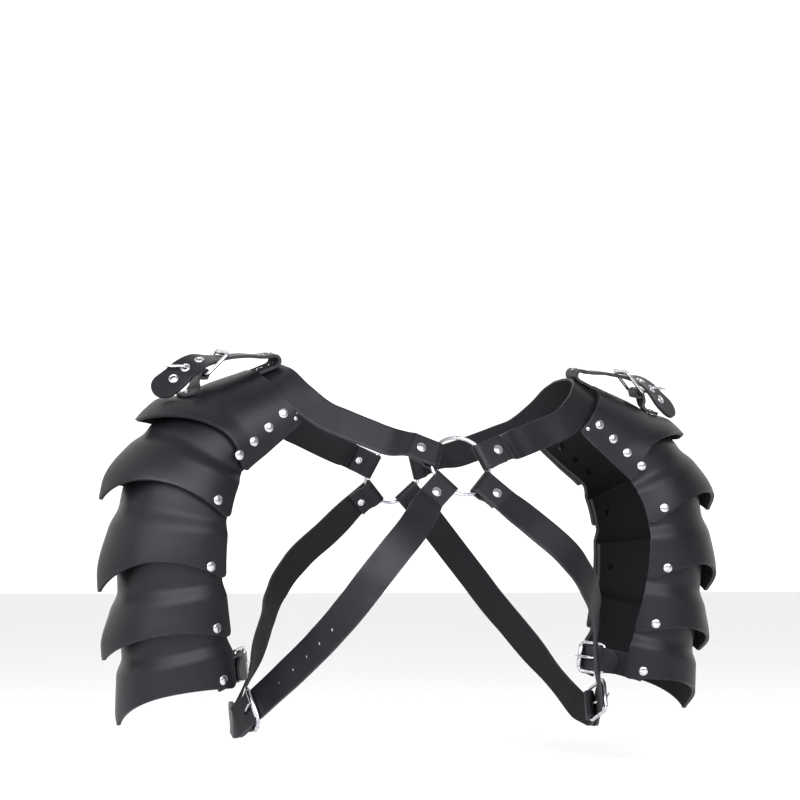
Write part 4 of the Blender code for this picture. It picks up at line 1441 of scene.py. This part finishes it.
@dataclass(frozen=True)
class ShoulderStrap:
    """The strap from the front ring over one shoulder to the back ring."""

    side: Side
    angle: float = math.radians(21.5)
    bend_reach: float = 0.1190
    place: float = -0.25
    turns: tuple[float, ...] = (0.80, 0.50, 0.25, 0.0)
    places: tuple[Place, ...] = (
        Place(0.454, -0.785, -0.756, (0.06, -0.95, 0.30)),
        Place(0.605, -0.730, -0.673, (0.08, -0.95, 0.30)),
        Place(0.756, -0.680, -0.583, (0.10, -0.95, 0.30)),
        Place(0.908, -0.640, -0.485, (0.16, -0.92, 0.36)),
    )

    def run(self) -> Run:
        """Return the whole strap's run.

        Returns:
            The run, from the front ring to the back one.
        """
        start = FRONT.run(self.angle)
        knots = [(start.points[-1], start.faces[-1])]
        knots += [place.knot(self.bend_reach, FRONT.depth, FRONT.drop) for place in self.places]
        for turn in self.turns:
            face = FORM.normal(turn, self.place)
            knots.append((FORM.point(turn, self.place) + face * STOCK.strap / 2.0, face))
        half = start.joined(Run.through(knots, LONG_STEP))
        crest = half.points[-1].y
        other = half.flipped()
        for point in other.points:
            point.y += 2.0 * crest * (1.0 - smooth_step(point.y / (0.6 * FRONT.depth)))
        return half.joined(other)

    def build(self, shop: Workshop) -> None:
        """Make the strap and the rivets of its two folds.

        Args:
            shop: Takes the pieces.
        """
        word = self.side.word
        node = f"shoulder_strap_{word}"
        data = sheet(self.run().grid(FRONT.width), STOCK.strap)
        shop.deliver(f"{node}_leather", data, Slot.LEATHER, self.side, [node])
        node = f"ring_rivet_upper_{word}"
        shop.deliver(f"{node}_cap", FRONT.rivet(self.angle), Slot.NICKEL, self.side, [node])
        shop.deliver(f"back_ring_rivet_upper_{word}", BACK.rivet(self.angle), Slot.NICKEL, self.side)


@dataclass(frozen=True)
class SideStraps:
    """The strap from the front ring to the wearer's side, and its mate at the back."""

    side: Side
    angle: float = math.radians(-43.5)
    reach: float = 0.1570
    drop: float = FORM.drop * 0.961
    back: float = -0.0120
    tail: float = 0.0450
    back_share: float = 0.88
    way: tuple[float, float, float] = (0.30, 0.78, -0.50)
    look: tuple[float, float, float] = (0.93, -0.36, 0.0)
    punched: tuple[float, ...] = (0.0220, 0.0390, 0.0560, 0.0730, 0.0900, 0.1070)
    punch_radius: float = 0.0013
    prong_hole: float = 0.0024
    places: tuple[Place, ...] = (
        Place(0.340, -1.440, -0.469, (0.08, -0.95, 0.28)),
        Place(0.474, -1.570, -0.544, (0.22, -0.95, 0.16)),
        Place(0.584, -1.560, -0.620, (0.42, -0.90, 0.10)),
        Place(0.668, -1.430, -0.695, (0.60, -0.80, 0.06)),
        Place(0.741, -1.160, -0.772, (0.74, -0.67, 0.04)),
        Place(0.820, -0.830, -0.850, (0.82, -0.57, 0.04)),
    )
    tail_places: tuple[Place, ...] = (
        Place(0.133, 0.533, -0.244, (1.00, 0.00, -0.10)),
        Place(0.044, 1.017, -0.089, (0.92, 0.38, -0.05)),
    )

    def buckle(self) -> Buckle:
        """Return the buckle at the wearer's side.

        Returns:
            The buckle.
        """
        along = Vector(self.way).normalized()
        look = Vector(self.look)
        face = (look - along * look.dot(along)).normalized()
        return Buckle(Vector((self.reach, self.back, -self.drop)), along, face, STOCK.width)

    def tail_run(self) -> Run:
        """Return the free tail behind the buckle.

        Returns:
            The run, from the buckle to the tip.
        """
        buckle = self.buckle()
        start = buckle.centre + buckle.along * buckle.length * 0.75
        knots = [(start, buckle.face), (start + buckle.along * self.tail * 0.15, buckle.face)]
        for place in self.tail_places:
            where, way = place.knot(self.tail, self.tail, self.tail)
            knots.append((buckle.centre + where, way))
        return Run.through(knots, LONG_STEP)

    def front_run(self) -> tuple[Run, float]:
        """Return the front strap's run and the length at which its buckle sits.

        Returns:
            The run, and the length along it.
        """
        start = FRONT.run(self.angle)
        buckle = self.buckle()
        knots = [(start.points[-1], start.faces[-1])]
        knots += [place.knot(self.reach, FRONT.depth, self.drop) for place in self.places]
        for share in (-0.75, 0.0, 0.75):
            knots.append((buckle.centre + buckle.along * buckle.length * share, buckle.face))
        run = start.joined(Run.through(knots, LONG_STEP))
        seat = run.lengths()[-1] - buckle.length * 0.75
        return run.joined(self.tail_run()), seat

    def back_run(self) -> Run:
        """Return the back strap's run, from the heel bar up to the back ring.

        Returns:
            The run.
        """
        buckle = self.buckle()
        tail = self.tail_run()
        start = buckle.fold()
        knots = [(start.points[-1], start.faces[-1])]
        under = buckle.heel_depth() - fold_level(WIRE.frame)
        for where, look in list(zip(tail.points, tail.faces))[::4]:
            knots.append((where - look * under, look))
            under = STOCK.strap + STOCK.clearance * 4.0
        for place in reversed(self.places[:-1]):
            where, way = place.knot(self.reach, FRONT.depth * self.back_share, self.drop)
            knots.append((where * MIRROR_DEPTH, way * MIRROR_DEPTH))
        end = BACK.run(self.angle)
        knots.append((end.points[-1], end.faces[-1]))
        run = start.joined(Run.through(knots, LONG_STEP))
        return run.joined(Run(end.points[::-1], end.faces[::-1]))

    def build(self, shop: Workshop) -> None:
        """Make both straps, their rivets and the buckle between them.

        Args:
            shop: Takes the pieces.
        """
        word = self.side.word
        run, seat = self.front_run()
        run = run.rounded(STOCK.width)
        node = f"lower_front_strap_{word}"
        data = sheet(run.grid(FRONT.width, round_end=True), STOCK.strap)
        piece = shop.deliver(f"{node}_leather", data, Slot.LEATHER, self.side, [node])
        holes = [(*run.at(seat - back), self.punch_radius) for back in self.punched]
        buckle = self.buckle()
        holes.append((buckle.centre + buckle.along * buckle.hole_shift, buckle.face, self.prong_hole))
        open_holes(piece, holes, self.side)
        node = f"lower_back_strap_{word}"
        data = sheet(self.back_run().grid(BACK.width), STOCK.strap)
        shop.deliver(f"{node}_leather", data, Slot.LEATHER, self.side, [node])
        node = f"ring_rivet_lower_{word}"
        shop.deliver(f"{node}_cap", FRONT.rivet(self.angle), Slot.NICKEL, self.side, [node])
        shop.deliver(f"back_ring_rivet_lower_{word}", BACK.rivet(self.angle), Slot.NICKEL, self.side)
        deliver_buckle(shop, "side", self.side, *buckle.metal(), buckle.prong())


def deliver_buckle(shop: Workshop, where: str, side: Side, wire: bmesh.types.BMesh,
                   roller: bmesh.types.BMesh, prong: bmesh.types.BMesh) -> None:
    """Hand over a buckle's frame, roller and prong.

    Args:
        shop: Takes the pieces.
        where: The buckle's place, as its nodes name it.
        side: The side that it belongs to.
        wire: The frame.
        roller: The roller.
        prong: The prong.
    """
    node = f"{where}_buckle_frame_{side.word}"
    shop.deliver(f"{node}_wire", wire, Slot.NICKEL, side, [node])
    shop.deliver(f"{where}_buckle_roller_{side.word}", roller, Slot.NICKEL, side)
    node = f"{where}_buckle_prong_{side.word}"
    shop.deliver(f"{node}_wire", prong, Slot.NICKEL, side, [node])


@dataclass(frozen=True)
class ShoulderTop:
    """The small strap that arches over a shoulder, with its buckle and its tab.

    It is drawn in an upright plane, which then leans to the front about the line of
    the strap's root, and its tail turns further to the front.
    """

    side: Side
    width: float = 0.0230
    turn: float = 0.13
    reach: float = 0.2380
    rise: float = 0.0115
    bend: float = 0.0045
    root: tuple[float, ...] = (-0.05, -0.25, -0.40)
    root_eyelets: tuple[float, ...] = (0.0050, 0.0160)
    eyelet: Eyelet = Eyelet()
    root_eyelet: Eyelet = Eyelet(outer=0.0030, inner=0.0015, rise=0.0006)
    eyelet_hole: float = 0.0026
    eyelet_count: int = 3
    eyelet_pitch: float = 0.0130
    eyelet_inset: float = 0.0200
    roller_index: int = 2
    frame_length: float = 0.0240
    frame_slope: float = math.radians(47.0)
    prong_reach: float = 0.0180
    prong_way: tuple[float, float, float] = (0.92, 0.38, 0.0)
    tab_foot: tuple[float, ...] = (0.54, 0.61, 0.68)
    tab_share: float = 0.65
    tab_rivet: Rivet = Rivet(cap=0.0032)
    upper_layer: float = 0.0260
    straight: float = 0.0080
    places: tuple[tuple[float, float, float], ...] = (
        (0.632, 1.00, 0.0), (0.693, 1.00, 0.0), (0.765, 0.80, 0.0), (0.815, 0.60, 10.0),
        (0.857, 0.40, 24.0), (0.898, -0.16, 36.0), (0.936, -0.92, 42.0), (1.000, -1.95, 42.0),
    )

    def crest(self, place: float, lift: float) -> Vector:
        """Return a point over the shoulder under the strap."""
        return FORM.point(self.turn, place) + FORM.normal(self.turn, place) * lift

    def lean(self, points: Sequence[Vector]) -> list[Vector]:
        """Return points of the upright plane after its lean to the front.

        Args:
            points: Points of the upright plane.

        Returns:
            The leaning points.
        """
        pivot = self.crest(self.root[0], 0.0)
        outward = (pivot - self.crest(self.root[-1], 0.0)).normalized()
        turn = Matrix.Rotation(math.asin(-FORM.normal(self.turn, self.root[0]).y), 3, outward)
        return [pivot + turn @ (point - pivot) for point in points]

    def across(self) -> Vector:
        """Return the way across the strap, to the back."""
        start, end = self.lean([Vector(), BACKWARD])
        return end - start

    def run(self) -> Run:
        """Return the small strap's run from its root to its tail.

        Returns:
            The run.
        """
        lift = STOCK.strap * 1.5 + STOCK.clearance
        root = [self.crest(place, lift) for place in self.root]
        depth = root[0].y
        inward = root[-1] - root[0]
        inward.y = 0.0
        inward.normalize()
        face = BACKWARD.cross(inward)
        centre = root[-1] + face * self.bend
        loop = []
        for degrees in (-45.0, 0.0, 45.0, 90.0):
            angle = math.radians(degrees)
            loop.append(centre + (inward * math.cos(angle) + face * math.sin(angle)) * self.bend)
        arch = [Vector((a * self.reach, depth, b * self.rise)) for a, b, _ in self.places]
        for point in root + loop:
            point.y = depth
        run = level_run(self.lean(smooth_path(root + loop + arch, BEND_STEP)), self.across())
        keys = [place[0] for place in self.places]
        turns = [place[2] for place in self.places]
        for index, point in enumerate(run.points):
            share = min(max(point.x / self.reach, keys[0]), keys[-1])
            angle = math.radians(curve_value(keys, turns, share))
            run.faces[index] = run.faces[index] * math.cos(angle) - self.across() * math.sin(angle)
        return run

    def bars(self) -> tuple[Vector, Vector]:
        """Return the middles of the heel bar and of the roller.

        Returns:
            The two middles.
        """
        points = [Vector((a * self.reach, 0.0, b * self.rise)) for a, b, _ in self.places]
        step = points[self.roller_index + 1] - points[self.roller_index - 1]
        face = step.cross(BACKWARD).normalized()
        raised = STOCK.strap / 2.0 + STOCK.clearance * 2.0 + WIRE.roller
        roller = points[self.roller_index] + face * raised
        roller.y = self.crest(self.root[0], STOCK.strap * 1.5 + STOCK.clearance).y
        slope = Vector((math.cos(self.frame_slope), 0.0, -math.sin(self.frame_slope)))
        heel, roller = self.lean([roller + slope * self.frame_length, roller])
        return heel, roller

    def foot(self) -> list[tuple[Vector, Vector]]:
        """Return the places of the tab's foot on the top plate, with their faces.

        Returns:
            The place and the face of each.
        """
        lift = (STOCK.plate + STOCK.strap) / 2.0 + STOCK.clearance
        shape = PLATES[0]
        seats = []
        for place in self.tab_foot:
            face = shape.normal(self.turn, place)
            seats.append((shape.point(self.turn, place) + face * lift, face))
        return seats

    def tab_run(self) -> Run:
        """Return the tab's run from the heel bar to its foot on the top plate.

        Returns:
            The run.
        """
        heel, _ = self.bars()
        across = self.across()
        foot = self.foot()
        aim = foot[0][0]
        for _ in range(3):
            along = aim - heel
            along = (along - across * along.dot(across)).normalized()
            face = along.cross(across)
            aim = foot[0][0] - face * fold_level(WIRE.frame)
        start = fold(heel, along, face, Buckle.returned, WIRE.frame)
        knots = [(start.points[-1], face)]
        knots.append((heel + along * self.straight + face * fold_level(WIRE.frame), face))
        return start.joined(Run.through(knots + foot, FINE_STEP))

    def build(self, shop: Workshop) -> None:
        """Make the strap, its eyelets, the tab, the buckle and the rivets.

        Args:
            shop: Takes the pieces.
        """
        word = self.side.word
        run = self.run()
        length = run.lengths()[-1]
        node = f"arch_strap_{word}"
        rows = run.rounded(self.width).grid(lambda _: self.width, round_end=True)
        data = sheet(rows, STOCK.strap)
        strap = shop.deliver(f"{node}_leather", data, Slot.LEATHER, self.side, [node])
        half = STOCK.strap / 2.0
        first = length - self.eyelet_inset
        seats = [run.at(first - self.eyelet_pitch * i) for i in range(self.eyelet_count)]
        open_holes(strap, [(*seat, self.eyelet_hole) for seat in seats], self.side)
        rings = []
        for seat in seats:
            rings += self.eyelet.build(*seat, half)
        for seat in self.root_seats(run):
            rings += self.root_eyelet.build(*seat, half)
        shop.deliver(f"arch_eyelets_{word}", merged(rings), Slot.NICKEL, self.side)
        width = self.width * self.tab_share
        tab = self.tab_run().rounded(width)
        node = f"shoulder_tab_{word}"
        data = sheet(tab.grid(lambda _: width, round_end=True), STOCK.strap)
        shop.deliver(f"{node}_leather", data, Slot.LEATHER, self.side, [node])
        rivet = self.tab_rivet.build(*self.foot()[1], half, half + STOCK.plate)
        shop.deliver(f"tab_rivet_{word}", rivet, Slot.NICKEL, self.side)
        self.build_buckle(shop, *seats[1])

    def root_seats(self, run: Run) -> list[tuple[Vector, Vector]]:
        """Return the eyelets of the strap's root and of the layer above it.

        Args:
            run: The small strap's run.

        Returns:
            The middle and the face of each.
        """
        seats = []
        for reach in self.root_eyelets:
            low = run.at(reach)
            upper = [run.at(self.upper_layer + 0.0005 * step) for step in range(60)]
            seats += [low, min(upper, key=lambda seat: abs(seat[0].x - low[0].x))]
        return [(point, face * (1.0 if face.z > 0.0 else -1.0)) for point, face in seats]

    def build_buckle(self, shop: Workshop, hole: Vector, look: Vector) -> None:
        """Make the buckle, whose prong comes out of an eyelet of the tail.

        Args:
            shop: Takes the pieces.
            hole: The eyelet's middle.
            look: The way the tail faces there.
        """
        heel, roller = self.bars()
        inward = (roller - heel).normalized()
        through = STOCK.strap / 2.0 + WIRE.prong + STOCK.clearance * 2.0
        points = [hole - look * through, hole + look * through * 0.8]
        for share in (0.12, 0.5, 1.0):
            reach = Vector(self.prong_way) * self.prong_reach * share
            points.append(hole + look * through + reach)
        prong = prong_mesh(heel, inward, self.across().cross(inward), points)
        wire, sleeve = frame_mesh(heel, roller, self.across(), self.width)
        deliver_buckle(shop, "shoulder", self.side, wire, sleeve, prong)


def level_run(path: list[Vector], across: Vector) -> Run:
    """Return the run of a path whose strap lies across a given way.

    Args:
        path: The strap's middle points.
        across: The way across it.

    Returns:
        The run, its faces square to both.
    """
    faces = []
    for index in range(len(path)):
        step = path[min(index + 1, len(path) - 1)] - path[max(index - 1, 0)]
        faces.append(step.cross(across).normalized())
    return Run(path, faces)


@dataclass(frozen=True)
class ArmStraps:
    """The buckled strap that closes a guard's lower end round the inner arm."""

    side: Side
    place: float = 4.70
    buckle_turn: float = math.radians(172.0)
    buckle_lift: float = 0.0062
    returned: float = 0.0042
    straight: float = 0.0060
    back_angles: tuple[float, ...] = (248.0, 234.0, 221.0)
    tail_angle: float = 138.0
    front_angles: tuple[float, ...] = (136.0, 124.0, 112.0)
    prong_hole: float = 0.0024

    def around(self, angle: float, lift: float) -> tuple[Vector, Vector]:
        """Return a point round the arm at an angle from its outer side, and its face.

        Args:
            angle: The angle in radians.
            lift: How far the point stands off the arm.

        Returns:
            The point and its face.
        """
        _, _, gap, depth = FORM.sizes(self.place)
        turn = angle / (math.pi - math.asin(min(gap / depth, 1.0)))
        face = FORM.normal(turn, self.place)
        return FORM.point(turn, self.place) + face * lift, face

    def buckle(self) -> Buckle:
        """Return the buckle on the inner arm.

        Returns:
            The buckle.
        """
        centre, face = self.around(self.buckle_turn, self.buckle_lift)
        ahead, _ = self.around(self.buckle_turn - 0.05, self.buckle_lift)
        along = (ahead - centre).normalized()
        return Buckle(centre, along, (face - along * face.dot(along)).normalized(), STOCK.narrow)

    def build(self, shop: Workshop) -> None:
        """Make both straps and the buckle.

        Args:
            shop: Takes the pieces.
        """
        word = self.side.word
        buckle = self.buckle()
        on_arm = STOCK.strap / 2.0
        over = on_arm + STOCK.strap + STOCK.clearance * 6.0
        knots = [self.around(math.radians(a), on_arm) for a in self.back_angles]
        for share in (-0.75, -0.45, 0.0, 0.45, 0.75):
            knots.append((buckle.centre + buckle.along * buckle.length * share, buckle.face))
        knots.append(self.around(math.radians(self.tail_angle), over))
        run = Run.through(knots, SHORT_STEP).rounded(STOCK.narrow)
        node = f"arm_strap_back_{word}"
        data = sheet(run.grid(lambda _: STOCK.narrow, round_end=True), STOCK.strap)
        strap = shop.deliver(f"{node}_leather", data, Slot.LEATHER, self.side, [node])
        hole = buckle.centre + buckle.along * buckle.hole_shift
        open_holes(strap, [(hole, buckle.face, self.prong_hole)], self.side)
        heel, _ = buckle.bars()
        start = fold(heel, buckle.along, buckle.face, self.returned, WIRE.frame)
        knots = [(start.points[-1], start.faces[-1])]
        knots.append((start.points[-1] + buckle.along * self.straight, start.faces[-1]))
        knots += [self.around(math.radians(a), on_arm) for a in self.front_angles]
        run = start.joined(Run.through(knots, SHORT_STEP))
        node = f"arm_strap_front_{word}"
        data = sheet(run.grid(lambda _: STOCK.narrow), STOCK.strap)
        shop.deliver(f"{node}_leather", data, Slot.LEATHER, self.side, [node])
        deliver_buckle(shop, "arm", self.side, *buckle.metal(), buckle.prong())


@dataclass(frozen=True)
class SoftLight:
    """One large soft light: its place, aim, width and height, and power in watts."""

    name: str
    place: tuple[float, float, float]
    aim: tuple[float, float, float]
    size: tuple[float, float]
    power: float
    colour: tuple[float, float, float] = (0.88, 0.89, 1.0)

    def build(self) -> None:
        """Place the light."""
        lamp = bpy.data.lights.new(self.name, "AREA")
        lamp.shape = "RECTANGLE"
        lamp.size, lamp.size_y = self.size
        lamp.energy = self.power
        lamp.color = self.colour
        item = bpy.data.objects.new(self.name, lamp)
        item.location = self.place
        way = Vector(self.aim) - Vector(self.place)
        item.rotation_euler = way.to_track_quat("-Z", "Y").to_euler()
        bpy.context.scene.collection.objects.link(item)


@dataclass(frozen=True)
class Studio:
    """The pale floor, the soft lights and the camera."""

    floor_drop: float = 0.330
    floor_size: float = 40.0
    room_light: float = 0.42
    backdrop_light: float = 1.30
    lights: tuple[SoftLight, ...] = (
        SoftLight("front", (-0.30, -1.10, 0.42), (-0.20, 0.0, -0.10), (1.70, 0.72), 25.0),
        SoftLight("side", (-1.25, -0.65, 0.42), (-0.22, 0.0, -0.15), (0.85, 1.00), 11.0),
    )
    camera_place: tuple[float, float, float] = (-0.6138, -1.4226, -0.1694)
    camera_yaw: float = math.radians(-22.56)
    camera_tilt: float = math.radians(5.58)
    lens: float = 82.8

    def build(self) -> None:
        """Make the floor, the world, the lights and the camera."""
        self.floor()
        self.world()
        for light in self.lights:
            light.build()
        self.camera()

    def floor(self) -> None:
        """Make the floor."""
        data = bmesh.new()
        bmesh.ops.create_grid(data, x_segments=8, y_segments=8, size=self.floor_size / 2.0)
        bmesh.ops.translate(data, vec=(0.0, 0.0, -self.floor_drop), verts=data.verts)
        mesh = bpy.data.meshes.new("floor")
        data.to_mesh(mesh)
        data.free()
        mesh.materials.append(FloorFinish().build())
        floor = bpy.data.objects.new("floor", mesh)
        bpy.context.scene.collection.objects.link(floor)

    def world(self) -> None:
        """Make a white backdrop behind the harness and a dim room before it."""
        world = bpy.data.worlds.new("studio")
        world.use_nodes = True
        nodes, links = world.node_tree.nodes, world.node_tree.links
        sky = nodes["Background"]
        sky.inputs["Color"].default_value = (1.0, 1.0, 1.0, 1.0)
        way = nodes.new("ShaderNodeSeparateXYZ")
        links.new(nodes.new("ShaderNodeTexCoord").outputs["Generated"], way.inputs["Vector"])
        share = nodes.new("ShaderNodeMapRange")
        share.interpolation_type = "SMOOTHSTEP"
        share.inputs["From Min"].default_value = -0.30
        share.inputs["From Max"].default_value = 0.30
        share.inputs["To Min"].default_value = self.room_light
        share.inputs["To Max"].default_value = self.backdrop_light
        links.new(way.outputs["Y"], share.inputs["Value"])
        links.new(share.outputs["Result"], sky.inputs["Strength"])
        bpy.context.scene.world = world
        bpy.context.scene.view_settings.view_transform = "Standard"

    def camera(self) -> None:
        """Place the camera at the photograph's viewing angle."""
        data = bpy.data.cameras.new("camera")
        data.lens = self.lens
        item = bpy.data.objects.new("camera", data)
        item.location = self.camera_place
        level = math.cos(self.camera_tilt)
        ahead = Vector((-math.sin(self.camera_yaw) * level, math.cos(self.camera_yaw) * level,
                        math.sin(self.camera_tilt)))
        item.rotation_euler = ahead.to_track_quat("-Z", "Y").to_euler()
        bpy.context.scene.collection.objects.link(item)
        bpy.context.scene.camera = item


def main() -> None:
    """Build the harness and the studio."""
    logging.basicConfig(level=logging.INFO, format="%(name)s %(message)s")
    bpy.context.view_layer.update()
    Studio().build()
    shop = Workshop()
    for ring, node in ((FRONT, "front_ring"), (BACK, "back_ring")):
        shop.deliver(f"{node}_wire", ring.wire(), Slot.NICKEL, Side.LEFT, [node])
    for side in Side:
        Guard(side).build(shop)
        ShoulderStrap(side).build(shop)
        SideStraps(side).build(shop)
        ShoulderTop(side).build(shop)
        ArmStraps(side).build(shop)
    LOG.info("%d pieces", shop.count)


if __name__ == "__main__":
    main()
